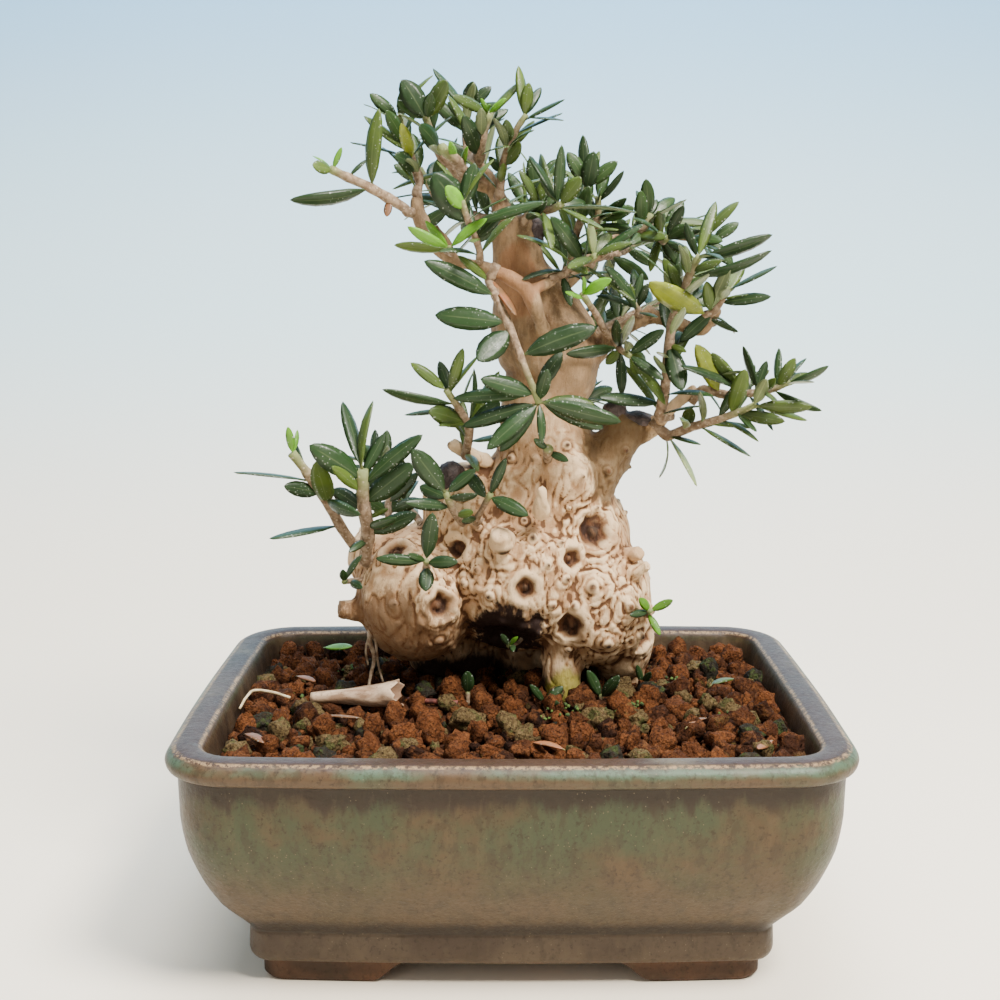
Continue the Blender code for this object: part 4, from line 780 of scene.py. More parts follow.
# Knots of old cut shoots on the front, by where they are seen: radius, swelling and crater depth
KNOTS = (
    Knot(-14.5, 67.5, 3.2, 1.6, 2.2), Knot(-24, 78, 2.8, 1.0, 1.8), Knot(-1.5, 80.5, 4.0, 1.2, 0),
    Knot(17, 82, 4.2, 1.4, 1.2), Knot(12.5, 77, 2.4, 1.0, 2.0), Knot(3, 71.5, 2.8, 0.7, 2.2),
    Knot(17, 71, 3.0, 1.6, 0), Knot(12.5, 63, 3.4, 1.6, 1.0), Knot(5.5, 62.5, 1.8, 1.6, 0),
    Knot(20, 59.5, 2.8, 1.4, 0), Knot(28, 58.5, 3.0, 1.4, 1.6), Knot(-11, 78.5, 2.6, 1.0, 1.2),
    Knot(-9, 72, 2.4, 1.4, 0), Knot(-4, 70, 2.4, 1.1, 0), Knot(14.5, 94, 1.4, 0.8, 0),
    Knot(20, 94.5, 2.2, 1.0, 0), Knot(-6.5, 75, 1.8, 1.0, 0), Knot(-6.5, 83, 2.2, 1.0, 0),
    Knot(-15, 60, 2.6, 1.0, 0), Knot(24, 67, 2.8, 1.3, 0), Knot(10, 80, 1.8, 0.8, 0),
)
EXTRA_KNOTS = 70
KNOT_SPACING = 3.6
KNOT_SEED = 5
BARK_ROUGHNESS = 0.5
BARK_SCALE = 0.22

# %% Trunk form
FINE_VOXEL = 0.42
MELT_ROUNDS = 31
LIMB_ROUNDS = 4
CUT_STUBS = (
    ((-22, 9, 64.5, 4.2), (-30, 6.5, 64.2, 2.7), (-36.5, 4.6, 64.8, 1.9)),
    ((23, 2, 72.0, 1.8), (26.5, 0, 74.0, 1.4), (28.6, -1, 75.6, 1.2)),
    ((6, -4, 87.0, 1.8), (6.2, -8, 90.0, 1.3), (6.2, -9, 93.0, 1.1)),
)


def lump(shape, middle, half_sizes):
    made = bmesh.ops.create_icosphere(shape, subdivisions=4, radius=1.0)["verts"]
    for corner in made:
        corner.co = Vector(a * b for a, b in zip(corner.co, half_sizes)) * MM
        corner.co += Vector(middle) * MM


def one_skin(piece, rounds, voxel=FINE_VOXEL):
    """One watertight skin over merged shapes, smoothed by so many rounds."""
    remesh = piece.modifiers.new("one_skin", "REMESH")
    remesh.mode = "VOXEL"
    remesh.voxel_size = voxel * MM
    melt = piece.modifiers.new("melt", "SMOOTH")
    melt.factor = 0.5
    melt.iterations = rounds
    return settle(piece)


def make_trunk_form():
    shape = bmesh.new()
    for middle, half_sizes in TRUNK_LUMPS:
        lump(shape, middle, half_sizes)
    for stem in TRUNK_STEMS:
        tube(shape, smooth_route(stem, 5), 28)
    trunk = finished("olive_trunk", shape, [])
    one_skin(trunk, 0)
    shape = bmesh.new()
    lump(shape, *ROOT_HOLLOW)
    hollow = finished("hollow", shape, [])
    cut = trunk.modifiers.new("hollow", "BOOLEAN")
    cut.operation = "DIFFERENCE"
    cut.object = hollow
    cut.solver = "MANIFOLD"
    settle(trunk)
    discard(hollow)
    one_skin(trunk, MELT_ROUNDS)
    shape = bmesh.new()
    shape.from_mesh(trunk.data)
    for number, limb in enumerate(LIMBS + CUT_STUBS):
        tube(shape, smooth_route(limb, 6), 16, bark=0.10, seed=number)
    shape.to_mesh(trunk.data)
    shape.free()
    return one_skin(trunk, LIMB_ROUNDS)


trunk = make_trunk_form()
print("trunk form:", len(trunk.data.polygons), "faces")

# %% [markdown]
# ## Knots and bark
#
# Wherever a shoot was cut, the wood closed over it in folds round a nub of dead wood, and some
# nubs rotted into dark, ragged pits. The knots lie where the solid has them. Small warts, which
# would have grown into roots or shoots, cover the skin between. How far each corner ends up
# below its surroundings is stored on the mesh, so that the finish can paint shade into the
# hollows and lighten the crests, partly the bark's own pale crests and partly painted highlight.

# %% Knots
KNOT_HEIGHTS, KNOT_REACH = (50.0, 100.0), 60.0


def place_knots(bark):
    """The seen knots, each where its line of sight meets the bark, and others all round."""
    draw = random.Random(KNOT_SEED)
    spots = []
    for knot in KNOTS:
        hit = bark.ray_cast(Vector((knot.x, -KNOT_REACH, knot.z)) * MM, Vector((0, 1, 0)))[0]
        if hit:
            spots.append((hit, knot))
    for _ in range(EXTRA_KNOTS):
        height = draw.uniform(*KNOT_HEIGHTS)
        angle = draw.uniform(0, 2 * math.pi)
        knot = Knot(0, 0, draw.uniform(1.4, 2.6), draw.uniform(0.5, 1.1), 0)
        way = Vector((math.cos(angle), math.sin(angle), 0))
        axis = Vector((*TREE_AXIS, height)) * MM
        hit = bark.ray_cast(axis + way * KNOT_REACH * MM, -way)[0]
        if hit and min((hit - spot).length for spot, _ in spots) > KNOT_SPACING * MM:
            spots.append((hit, knot))
    return spots


def bark_tree(mesh):
    return BVHTree.FromPolygons([v.co for v in mesh.vertices], [tuple(p.vertices) for p in mesh.polygons])


def hump(value, middle, width):
    return math.exp(-((value - middle) / width) ** 2)


def knot_form(share, offset, ragged, knot):
    """Broad swelling, and fine relief, at a distance from a knot's middle."""
    strength = 0.24 * spread(knot.height, 0.8, 1.4)
    folds = strength * hump(share, 1.35, 0.45) * math.sin(2 * math.pi * (offset / 1.5 + 0.6 * ragged))
    if knot.dip:
        rotted = -0.75 * knot.dip * spread(share, 0.9, 0.35)
        plug = 0.55 * knot.dip * spread(share, 0.42, 0.16) + 0.35 * ragged * spread(share, 0.8, 0.5)
        return 0.6 * knot.height * hump(share, 1.1, 0.5), rotted + plug + folds
    nub = 0.55 * hump(share, 0, 0.30) - 0.32 * hump(share, 0.48, 0.13)
    return knot.height * math.exp(-1.2 * share * share), nub + folds


# %% Carve the bark
HOLLOW_ROUNDS = 9
SWELLING_STARTS = (46, 50)    # heights over which the swelling begins, above the soil
OLD_WOOD = (112, 90)          # heights over which young smooth limbs become old wood


def wart(place):
    """A small round rise here and there on the skin."""
    gaps, centres = noise.voronoi(place * 0.36)
    return 0.6 * spread(gaps[0], 0.42, 0.1) * spread(noise.cell(centres[0] * 7.3), 0.45, 0.7)


def hollows(mesh, rounds):
    """How deep each corner lies below its surroundings, in millimetres, from a melted copy."""
    count = len(mesh.vertices)
    places = numpy.empty(3 * count)
    mesh.vertices.foreach_get("co", places)
    places = places.reshape(-1, 3)
    outward = numpy.empty(3 * count)
    mesh.vertex_normals.foreach_get("vector", outward)
    ends = numpy.empty(2 * len(mesh.edges), int)
    mesh.edges.foreach_get("vertices", ends)
    first, second = ends.reshape(-1, 2).T
    neighbours = numpy.bincount(ends, minlength=count)
    melted = places.copy()
    for _ in range(rounds):
        for axis in range(3):
            column = melted[:, axis].copy()
            total = numpy.bincount(first, column[second], count)
            total += numpy.bincount(second, column[first], count)
            melted[:, axis] = total / neighbours
    return ((melted - places) * outward.reshape(-1, 3)).sum(axis=1) / MM


def carve_bark(trunk):
    """Move the trunk's skin out and in, and store what its finish needs to know."""
    mesh = trunk.data
    count = len(mesh.vertices)
    tree = kdtree.KDTree(count)
    for vertex in mesh.vertices:
        tree.insert(vertex.co, vertex.index)
    tree.balance()
    swelling = [0.0] * count
    relief = [0.0] * count
    pit = [0.0] * count
    nearest = [3.0] * count
    knots = place_knots(bark_tree(mesh))
    for number, (spot, knot) in enumerate(knots):
        for place, index, offset in tree.find_range(spot, 3 * knot.radius * MM):
            offset /= MM
            ragged = noise.noise(place / MM * 0.55 + Vector((number, 0, 0)))
            share = offset / knot.radius * (1 + 0.25 * ragged)
            broad, fine = knot_form(share, offset, ragged, knot)
            swelling[index] += broad
            if share < nearest[index]:
                nearest[index] = share
                relief[index] = fine
            core = 0.95 if knot.dip else 0.30
            pit[index] = max(pit[index], spread(share, core, core * 0.5))
    places = []
    for vertex in mesh.vertices:
        place = vertex.co / MM
        i = vertex.index
        above = spread(place.z, *SWELLING_STARTS)
        old_wood = spread(place.z, *OLD_WOOD)
        drift = noise.noise(place * 0.12), noise.noise(place * 0.12 + Vector((9, 9, 9)))
        flow = place + 3.0 * Vector((*drift, 0))
        furrow = noise.noise(Vector((flow.x * 0.55, flow.y * 0.55, flow.z * 0.13)))
        relief[i] += 0.26 * (min(abs(furrow) * 7, 1) - 1) * (0.4 + 0.6 * old_wood)
        relief[i] += 0.07 * noise.noise(place * 0.7) + 0.03 * noise.fractal(place * 1.6, 0.9, 2.0, 3)
        relief[i] += wart(place) * (0.25 + 0.75 * old_wood)
        relief[i] *= 0.45 + 0.55 * old_wood
        swell = swelling[i] + BARK_ROUGHNESS * noise.noise(place * BARK_SCALE)
        places.append(vertex.co + vertex.normal * (swell * above + relief[i]) * MM)
    for vertex, place in zip(mesh.vertices, places):
        vertex.co = place
    # The depth below the surroundings, for the finish's painted shade in hollows and lighter crests
    store(mesh, "hollow", hollows(mesh, HOLLOW_ROUNDS))
    store(mesh, "pit", pit)
    print("knots:", len(knots), "relief", round(min(relief), 2), round(max(relief), 2), "mm")


TRIANGLES_KEPT = 0.77
carve_bark(trunk)
thin = trunk.modifiers.new("thin", "DECIMATE")
thin.ratio = TRIANGLES_KEPT
settle(trunk)

# %% [markdown]
# ## Bark finish
#
# Dry olive bark is cream on its crests and brown in its furrows, and darker and greyer on the
# young limbs; the crests are lightened partly as painted highlight, and the deepest hollows are
# painted near black as shade. Rotten wood in the pits is nearly black. Painted shade darkens the
# left side of the base and the trunk towards the soil, and the hollow between the roots and the
# underside above the soil are painted near black as shade. One root has greened where the sun
# reaches it at the soil. Regions are ellipsoids in object coordinates with a noisy border,
# because a table of places is easier to shift than a picture.

# %% Bark colours
bark_finish, net, shader, place = new_finish("olive_bark")
hollow = net.attribute("hollow")
pit = net.attribute("pit")
height = net.add("ShaderNodeSeparateXYZ", links={0: place}).outputs[2]
cloud = net.noise(place, 110, 5)
fibre = net.noise(place, 620, 5, 0.65, stretch=(1, 1, 0.35))
fleck = net.noise(place, 1700, 3)


def region(middle, half_sizes, edge):
    """1 inside an ellipsoid in millimetres and 0 outside, with a noisy border."""
    spot = place
    for operation, values in (("SUBTRACT", [v * MM for v in middle]),
                              ("MULTIPLY", [1 / MM / v for v in half_sizes])):
        spot = net.add("ShaderNodeVectorMath", {1: values}, {0: spot}, operation=operation).outputs[0]
    reach = net.add("ShaderNodeVectorMath", None, {0: spot}, operation="LENGTH").outputs["Value"]
    border = net.math("SUBTRACT", net.math("ADD", cloud, fibre), 1.0)
    return net.band(net.math("ADD", reach, net.math("MULTIPLY", border, edge)), 1.05, 0.8)


# Crests cream and furrows brown, partly the bark's own colour and partly painted highlight and shade; the
# deepest hollows near black as painted shade
crest_and_shade_depth = net.math("ADD", hollow, net.swing(fibre, 0.40))
colour = net.mix(net.band(crest_and_shade_depth, 0.05, -0.13), (0.380, 0.222, 0.112), (0.690, 0.500, 0.305))
colour = net.coat(colour, net.band(cloud, 0.52, 0.64), 0.6, (0.360, 0.200, 0.098))
colour = net.coat(colour, net.band(crest_and_shade_depth, 0.05, 0.14), 0.92, (0.085, 0.036, 0.016))
shaded = region((-26.0, 0.0, 58.0), (19.0, 24.0, 13.0), 1.3)
colour = net.coat(colour, shaded, 0.8, (0.150, 0.075, 0.034))
# Painted shade: the trunk darker towards the soil
low_trunk_shade = net.band(net.math("ADD", height, net.math("MULTIPLY", cloud, 0.02)), 0.066, 0.056)
colour = net.coat(colour, low_trunk_shade, 0.6, (0.095, 0.045, 0.022))
limb = net.mix(net.band(fibre, 0.40, 0.62), (0.085, 0.048, 0.024), (0.235, 0.150, 0.080))
limb = net.coat(limb, net.band(cloud, 0.52, 0.66), 0.5, (0.340, 0.230, 0.130))
limb = net.coat(limb, net.band(fleck, 0.58, 0.70), 0.5, (0.420, 0.300, 0.185))
limb_share = net.band(net.math("ADD", height, net.math("MULTIPLY", cloud, 0.05)), 0.112, 0.150)
colour = net.coat(colour, limb_share, 0.85, limb)
fork = region((22.0, 6.0, 100.0), (8.0, 14.0, 13.0), 0.8)
colour = net.coat(colour, fork, 0.85, (0.085, 0.052, 0.023))
bald = region((1.0, 0.0, 133.5), (5.5, 9.0, 8.5), 0.5)
colour = net.coat(colour, bald, 0.6, (0.290, 0.135, 0.062))
rotten = net.mix(net.band(fibre, 0.4, 0.6), (0.022, 0.010, 0.007), (0.115, 0.050, 0.023))
colour = net.coat(colour, pit, 0.96, rotten)
# Painted shade, near black: in the hollow between the roots, and under the base just above the soil
colour = net.mix(region((-1.5, -6.0, 58.0), (9.0, 17.0, 10.0), 1.1), colour, (0.018, 0.009, 0.007))
colour = net.mix(region((-9.0, -2.0, 47.5), (22.0, 26.0, 6.5), 0.5), colour, (0.022, 0.012, 0.008))
colour = net.coat(colour, region((12.0, -4.0, 47.0), (6.5, 9.0, 7.5), 0.4), 0.75, (0.330, 0.300, 0.045))
colour = net.coat(colour, net.band(fleck, 0.62, 0.72), 0.5, (0.080, 0.040, 0.020))
wrinkles = net.bump(fibre, 0.6, 0.0007)
wire(net, shader, colour, 0.68, 0.16, net.bump(net.noise(place, 2300, 4, 0.65), 0.4, 0.0003, wrinkles))
put_on(trunk, bark_finish)
take_place(trunk, "bark", "trunk")

# %% [markdown]
# ## Where the leaves stand
#
# Wild olive bears its leaves in opposite pairs, each pair a quarter turn from the last, and on
# an old shoot many are lost. The leaves that the photograph shows are listed one by one, by how
# far along the shoot they grow and where their tips are. The rest follow the rule. The solid
# turned a leaf a little wherever two met, so each leaf is looked for in the solid: it stands
# where a corner of the solid's mesh marks its tip.

# %% Shoot tables
Shoot = namedtuple("Shoot", "name base_radius tip_radius pairs route leaves")
# Each leafy shoot: radius at its base and tip; how many further pairs of leaves it bears by
# rule, with their length and width; its route; and single leaves, each as how far along the
# shoot it grows, where its tip is, how wide it looks from the front, and what it is: d dark,
# o olive green, b young and bright, y yellowing, p pale, x dry.
SHOOTS = (
    Shoot("far_left", 1.2, 0.7, None,
          ((-18, 2, 146), (-21.5, 0, 148), (-27.5, -3, 151.5), (-33, -6, 154), (-35, -7, 155)),
          ((0.55, -42.5, -10, 149, 1.9, "d"), (0.5, -25.5, -5, 166.5, 3.7, "o"),
           (0.78, -28, -4, 157, 1.2, "d"), (1, -32.5, -8, 159, 1.2, "b"), (1, -38, -10, 155.5, 3.1, "o"),
           (1, -38.5, -6, 157.5, 0.8, "b"), (0.3, -24.5, -3, 146, 1.9, "x"))),
    Shoot("top_left", 1.0, 0.6, (3, 9, 3),
          ((-17.5, 6, 149.5), (-18.5, 6, 153.5), (-20, 5, 157.5), (-21.5, 5, 162.5), (-22.5, 4, 166)),
          ((0.6, -29, 0, 165.5, 2.5, "o"), (0.4, -23, -1, 158, 3.7, "d"), (0.25, -24, 2, 155, 1.6, "o"),
           (0.5, -21.5, -2, 164, 2.9, "y"), (1, -21, 5, 168, 1.2, "o"))),
    Shoot("top_mid", 1.0, 0.6, (2, 9, 3),
          ((-12.5, 6.5, 154), (-14, 4, 158), (-16, 2, 163), (-17, 1, 165.5)),
          ((1, -21.5, 1, 172.5, 4.9, "d"), (1, -12.5, -3, 172, 4.1, "o"),
           (0.75, -10.5, 2, 172, 2.5, "b"), (0.5, -18, -4, 163.5, 4.3, "d"))),
    Shoot("top_tall", 1.2, 1.0, None,
          ((-7.5, 8, 157.5), (-6, 5, 161.5), (-4.5, 3, 166.5)),
          ((1, -6, 1, 169, 1.2, "b"), (1, -1, 1, 169, 1.2, "b"), (0.97, -11.5, -3, 169, 2.9, "o"),
           (0.15, -9.5, -1, 165.5, 4.1, "d"), (0.95, -4, -1, 167.5, 1.4, "b"))),
    Shoot("stub_front", 1.2, 1.1, None,
          ((-7.5, 5, 154), (-10.5, -1, 156.5), (-13.5, -6, 159)),
          ((0.6, -12, -8, 160, 1.9, "b"), (0.3, -8.5, -3, 159.5, 1.6, "b"))),
    Shoot("top_right", 1.0, 0.5, None,
          ((-3, 9, 148.5), (-2, 7, 154), (-1, 5, 158.5), (1, 3, 163), (3, 2, 166)),
          ((1, 3.5, 1, 172, 2.9, "o"), (1, 6, 5, 171.5, 1.9, "d"), (0.9, 10.5, -2, 168.5, 1.9, "d"),
           (0.62, -1, 1, 165, 2.9, "o"), (0.5, 4.5, -4, 162.5, 1.6, "d"), (0.4, 2, 2, 160.5, 3.7, "o"),
           (0.2, -1.5, 0, 156.5, 1.9, "o"), (0.3, -4.5, 4, 158, 2.1, "d"))),
    Shoot("top_back", 0.9, 0.5, (3, 9.5, 3.2),
          ((-7.5, 14, 156), (-9.5, 17, 162), (-8.5, 17, 169)),
          ((1, -4, 17, 173, 2.7, "d"), (1, -2, 12, 169, 1.9, "d"), (0.8, -13, 13, 169.5, 2.1, "d"))),
    Shoot("front_bright", 0.7, 0.5, None,
          ((-12.5, -1, 138.5), (-12, -5, 139.5), (-12, -7, 140)),
          ((1, -20, -10, 144, 1.9, "b"), (1, -4, -9, 146, 2.5, "b"), (0.7, -23, -5, 140.5, 1.6, "o"),
           (0.8, -17, -4, 145.5, 1.6, "b"))),
    Shoot("front_up", 0.8, 0.5, None,
          ((-6, -1, 136), (-6.5, -5, 140.5), (-8.5, -8, 145.5), (-9.5, -9, 149)),
          ((0.65, -15, -10, 154, 6.4, "d"), (0.85, -12.5, -12, 151.5, 3.5, "b"),
           (0.9, -7, -9, 156, 3.3, "d"), (0.35, -4, -6, 145.5, 3.3, "d"),
           (1, -14.5, -6, 156.5, 1.6, "o"))),
    Shoot("drop", 1.0, 0.6, None,
          ((-4.5, -1, 135), (-3, -6, 130.5), (0, -9, 124), (2.5, -11, 117.5), (5.5, -10, 110)),
          ((0.02, -16.5, -7, 137.5, 3.1, "d"), (0.05, -10.5, -4, 138.5, 2.1, "o"),
           (0.03, 1, -10, 127, 2.1, "x"), (0.42, -15, -7, 127, 4.9, "d"),
           (0.45, -6.5, -14, 118.5, 5.4, "d"), (0.66, 16.5, -13, 125, 5.6, "d"),
           (0.95, -6, -13, 115, 4.3, "d"), (1, -4.5, -15, 102, 4.1, "d"),
           (1, 21.5, -12, 106.5, 3.5, "d"), (1, 18.5, -6, 104.5, 4.1, "d"),
           (0.98, 7, -14, 117, 2.9, "d"), (0.93, 10, -8, 120, 3.1, "d"), (0.9, -11, -5, 111.5, 3.5, "d"),
           (1, 6, -12, 102, 2.1, "d"), (0.97, 16.5, -3, 109, 2.9, "d"))),
    Shoot("mid_left", 1.0, 0.6, None,
          ((-6.5, 3, 98.5), (-8.5, 1, 103.5), (-10.5, -2, 108), (-13, -4, 112)),
          ((0.8, -25.5, -8, 112.5, 1.6, "d"), (1, -20, -5, 117.5, 2.7, "o"),
           (0.95, -9.5, -6, 120.5, 2.5, "o"), (0.9, -14.5, 0, 117.5, 2.5, "d"),
           (0.55, -16.5, -6, 108, 4.3, "o"), (0.5, -7.5, 1, 116, 1.2, "d"))),
    Shoot("low_left2", 1.3, 0.9, None,
          ((-33.5, 8, 77), (-35.5, 4, 82.5), (-38, 1, 88.5), (-41.5, -1, 94.5), (-44.5, -2, 99)),
          ((0.72, -56, -5, 95.5, 1.2, "d"), (0.5, -39, -7, 98, 4.3, "o"),
           (0.62, -46, -4, 92.5, 3.3, "d"), (0.3, -49, -6, 82, 2.3, "d"), (1, -45, -3, 104.5, 1.9, "b"),
           (1, -43.5, 0, 103.5, 1.0, "b"), (0.55, -30, -9, 87.5, 2.9, "d"),
           (0.8, -44.5, 4, 100, 1.6, "d"))),
    Shoot("low_left1", 1.5, 1.1, None,
          ((-29.5, 4, 73.5), (-29.5, 0, 82), (-30, -3, 89), (-30, -5, 96)),
          ((0.9, -40, -9, 101.5, 5.8, "d"), (0.8, -35.5, -10, 97.5, 2.7, "o"),
           (0.85, -17.5, -8, 103.5, 4.1, "d"), (0.65, -19.5, -7, 97.5, 6.0, "d"),
           (0.95, -25.5, -2, 103, 2.7, "d"), (1, -28, 0, 109.5, 2.3, "o"),
           (0.98, -34.5, 3, 109, 3.1, "d"), (0.6, -38, 0, 91.5, 4.1, "d"),
           (0.4, -23, -7, 86.5, 2.1, "d"), (0.33, -19, -5, 87, 3.7, "d"), (0.5, -25, -2, 87.5, 1.2, "o"),
           (0.28, -33, -5, 79, 1.9, "d"))),
    Shoot("low_left3", 0.8, 0.6, (2, 9, 3),
          ((-26, 12, 83.5), (-26.5, 16, 85.5), (-25.5, 17, 88)),
          ((0.6, -19.5, 10, 93, 2.9, "d"),)),
    Shoot("low_mid1", 0.9, 0.6, None,
          ((-10, -3, 83), (-11.5, -6, 87.5), (-13, -9, 92)),
          ((1, -19.5, -11, 101, 4.5, "d"), (0.7, -21, -12, 90.5, 2.7, "d"), (1, -7, -11, 97, 2.7, "d"),
           (0.9, -6.5, -14, 92.5, 1.6, "d"), (0.85, -18.5, -4, 92.5, 3.3, "d"),
           (0.5, -7.5, -9, 88, 1.9, "o"))),
    Shoot("low_mid2", 0.8, 0.5, None,
          ((-7.5, -3, 85.5), (-5.5, -5, 88.5), (-4, -7, 91.5)),
          ((1, -1, -9, 99, 2.3, "d"), (0.9, 3.5, -10, 87.5, 3.5, "d"), (0.8, -9, -1, 95, 3.3, "d"),
           (0.3, -11, -8, 86, 1.6, "d"))),
    Shoot("low_sprout", 0.7, 0.5, None,
          ((-17, -5, 75), (-17, -8, 77), (-17, -10, 78.5)),
          ((0.9, -27, -11, 79, 2.5, "d"), (0.8, -10.5, -12, 78.5, 2.7, "d"),
           (1, -15.5, -12, 88.5, 3.9, "d"), (0.6, -17, -12, 72.5, 3.1, "d"),
           (1, -20.5, -14, 80.5, 1.6, "d"))),
    Shoot("left_tiny", 0.6, 0.5, None,
          ((-33, 4, 71), (-34, 1, 71.5), (-34.5, -1.5, 72)),
          ((1, -34.5, -3, 75, 1.9, "d"), (0.8, -34, -2, 72, 1.6, "d"), (0.5, -30.5, -3, 71, 1.9, "d"),
           (0.9, -30.5, -3, 78, 1.6, "d"))),
    Shoot("crown_front1", 1.0, 0.6, None,
          ((2, 4, 146.5), (4.5, 2, 147), (8, -0.5, 147.5), (10, -3, 148.5)),
          ((0.5, 1.5, -2, 155, 2.3, "o"), (0.9, 3.5, 1, 158, 2.1, "d"), (1, 5, 4, 161, 1.9, "o"),
           (1, 13.5, -6, 153.5, 3.5, "o"), (0.6, 24, -4, 147, 1.0, "d"), (0.8, 15, 3, 149, 2.9, "d"),
           (0.1, 7, -4, 149, 1.6, "d"))),
    Shoot("crown_mid", 0.9, 0.6, None,
          ((9.7, 1, 134.2), (12, 1.5, 136), (15, -1, 137.2), (16.5, -4.5, 138.5)),
          ((0.6, 7.5, -8, 146, 3.7, "d"), (1, 15, -7, 145.5, 1.9, "p"), (1, 23.5, -8, 141, 2.1, "o"),
           (0.4, 1, -3, 142.5, 1.9, "o"), (0.2, 1, -3, 133.5, 1.9, "d"), (0.3, 15, -7, 135, 2.3, "o"),
           (0.8, 20, 1, 143, 3.1, "o"), (0.1, 12, -2, 128.5, 2.1, "d"))),
    Shoot("crown_up1", 1.1, 0.6, (3, 10, 3.2),
          ((10.5, 14, 131.5), (12.5, 10, 139.5), (14.5, 7, 146.5), (15.5, 6, 152.5)),
          ((0.95, 16.5, 3, 159, 3.7, "d"), (1, 14.5, 7, 162.5, 2.3, "d"), (1, 18, 9, 159.5, 1.9, "o"))),
    Shoot("crown_up2", 1.0, 0.6, (3, 10, 3.2),
          ((14.5, 16.5, 137.5), (16.5, 14, 141), (18, 12, 146), (18, 11, 150.5)),
          ((1, 18.5, 7, 152, 3.1, "o"), (1, 21.5, 14, 153, 2.1, "d"), (0.9, 23, 8, 155.5, 1.2, "d"),
           (0.7, 23.5, 6, 150, 1.6, "d"), (0.6, 25.5, 6, 143.5, 1.9, "d"))),
    Shoot("crown_right1", 1.0, 0.6, (3, 9.5, 3),
          ((22.5, 19, 140.5), (25.5, 15, 142.5), (27.5, 12, 144), (29, 12, 147)),
          ((0.5, 31.5, 4, 142, 3.5, "o"), (0.3, 22.5, 14, 146, 3.1, "d"), (1, 30.5, 14, 150, 1.6, "d"))),
    Shoot("crown_right2", 0.9, 0.6, (2, 9, 3),
          ((30.5, 18, 143.5), (31.5, 12, 141.5), (32, 8, 142)),
          ((0.6, 30, 8, 147.5, 2.1, "o"), (1, 35, 5, 148.5, 2.5, "d"), (0.9, 38.5, 4, 143.5, 1.4, "d"),
           (0.8, 36.5, 6, 139, 1.9, "d"))),
    Shoot("riser", 1.2, 0.6, None,
          ((31, 5, 104), (31.5, 1, 112.5), (32, -1, 123), (33.5, -2, 129.5), (35.5, -4, 135.5),
           (37, -5, 138.5)),
          ((1, 51, -6, 142.5, 1.9, "d"), (1, 34, -5, 145, 1.6, "d"), (0.88, 51, -6, 139.5, 1.2, "d"),
           (0.85, 34.5, -2, 140.5, 2.3, "o"), (0.9, 41, -8, 137.5, 1.9, "o"),
           (0.5, 34, -6, 112, 4.3, "d"), (0.48, 35, -4, 119.5, 1.4, "o"),
           (0.12, 17.5, -3, 110.5, 3.5, "d"), (0.75, 31, -4, 137, 2.5, "o"),
           (0.6, 38, 2, 132.5, 2.1, "d"))),
    Shoot("crown_right3", 0.9, 0.6, None,
          ((39, 3, 124.5), (41, 1, 127.5), (42.5, -1, 130.5), (43.5, -2, 132)),
          ((1, 37.5, -4, 141.5, 1.6, "d"), (1, 52.5, -4, 136.5, 1.6, "d"),
           (0.6, 51.5, -4, 130.5, 2.9, "d"), (0.2, 22, -5, 136, 3.1, "y"),
           (0.3, 38.5, -4, 133.5, 2.7, "o"), (0.9, 42, 0, 135.5, 2.1, "d"), (0.4, 34, 4, 121, 2.9, "d"),
           (0.1, 46.5, 3, 123, 1.0, "d"), (0.7, 46.5, -6, 131, 1.2, "o"))),
    Shoot("crown_right5", 0.8, 0.5, None,
          ((26.5, 5, 125), (26, 3, 127.5), (24.5, 2, 129.5)),
          ((0.3, 18.5, -3, 136.5, 3.1, "d"), (1, 24, -1, 132.5, 1.4, "o"), (1, 22, 1, 131.5, 1.2, "o"),
           (0.6, 27.5, 0, 133, 1.9, "d"), (0.5, 17, 1, 130.5, 1.9, "d"), (0.9, 26.5, 2, 135, 2.1, "d"))),
    Shoot("crown_right6", 0.8, 0.5, (1, 9, 3),
          ((33.5, 4, 126), (34, 5, 129.5), (34, 6, 132.5)),
          ((0.9, 31, 5, 138, 2.5, "o"), (1, 34.5, 7, 139, 1.9, "d"), (0.5, 38, 9, 131.5, 1.9, "d"),
           (0.6, 30, 2, 132.5, 1.9, "d"))),
    Shoot("small_bright", 0.9, 0.6, None,
          ((19.5, 5, 122), (17, 0, 127), (14, -4, 131)),
          ((1, 19.5, -9, 134, 2.7, "b"), (0.9, 10.5, -8, 131.5, 1.6, "b"), (1, 14, -8, 134.5, 1.2, "b"))),
    Shoot("right_low", 0.8, 0.5, None,
          ((21, 6, 120.5), (22.5, 2, 119.5), (24, -1, 118.5)),
          ((0.3, 21, -3, 126, 1.9, "d"), (1, 30.5, -4, 114, 2.7, "d"), (0.5, 19.5, 4, 116.5, 2.3, "o"),
           (1, 27.5, 3, 115.5, 4.9, "o"), (0.2, 11, -2, 119, 2.5, "d"), (0.9, 30.5, -4, 124, 2.7, "d"),
           (0.8, 25, 6, 112.5, 2.1, "o"))),
    Shoot("fork_top", 1.0, 0.5, None,
          ((38, 3, 112), (44, 2, 110.5), (49.5, 0, 111), (53, -2, 112), (56, -3, 113.5)),
          ((0.55, 33.5, -6, 117, 2.9, "d"), (0.5, 40, -4, 119.5, 2.1, "o"),
           (0.65, 47, 1, 120.5, 1.4, "d"), (0.62, 52, 1, 117.5, 2.1, "d"),
           (0.7, 52.5, -6, 114.5, 2.1, "o"), (0.85, 56.5, -5, 118.5, 2.5, "o"),
           (0.85, 54.5, 2, 120, 1.6, "d"), (1, 63, -6, 117, 1.4, "d"), (0.8, 62, -6, 108, 1.4, "d"),
           (0.25, 37, -2, 121, 4.5, "y"), (1, 60, 1, 118, 1.2, "d"))),
    Shoot("fork_low", 1.2, 0.6, None,
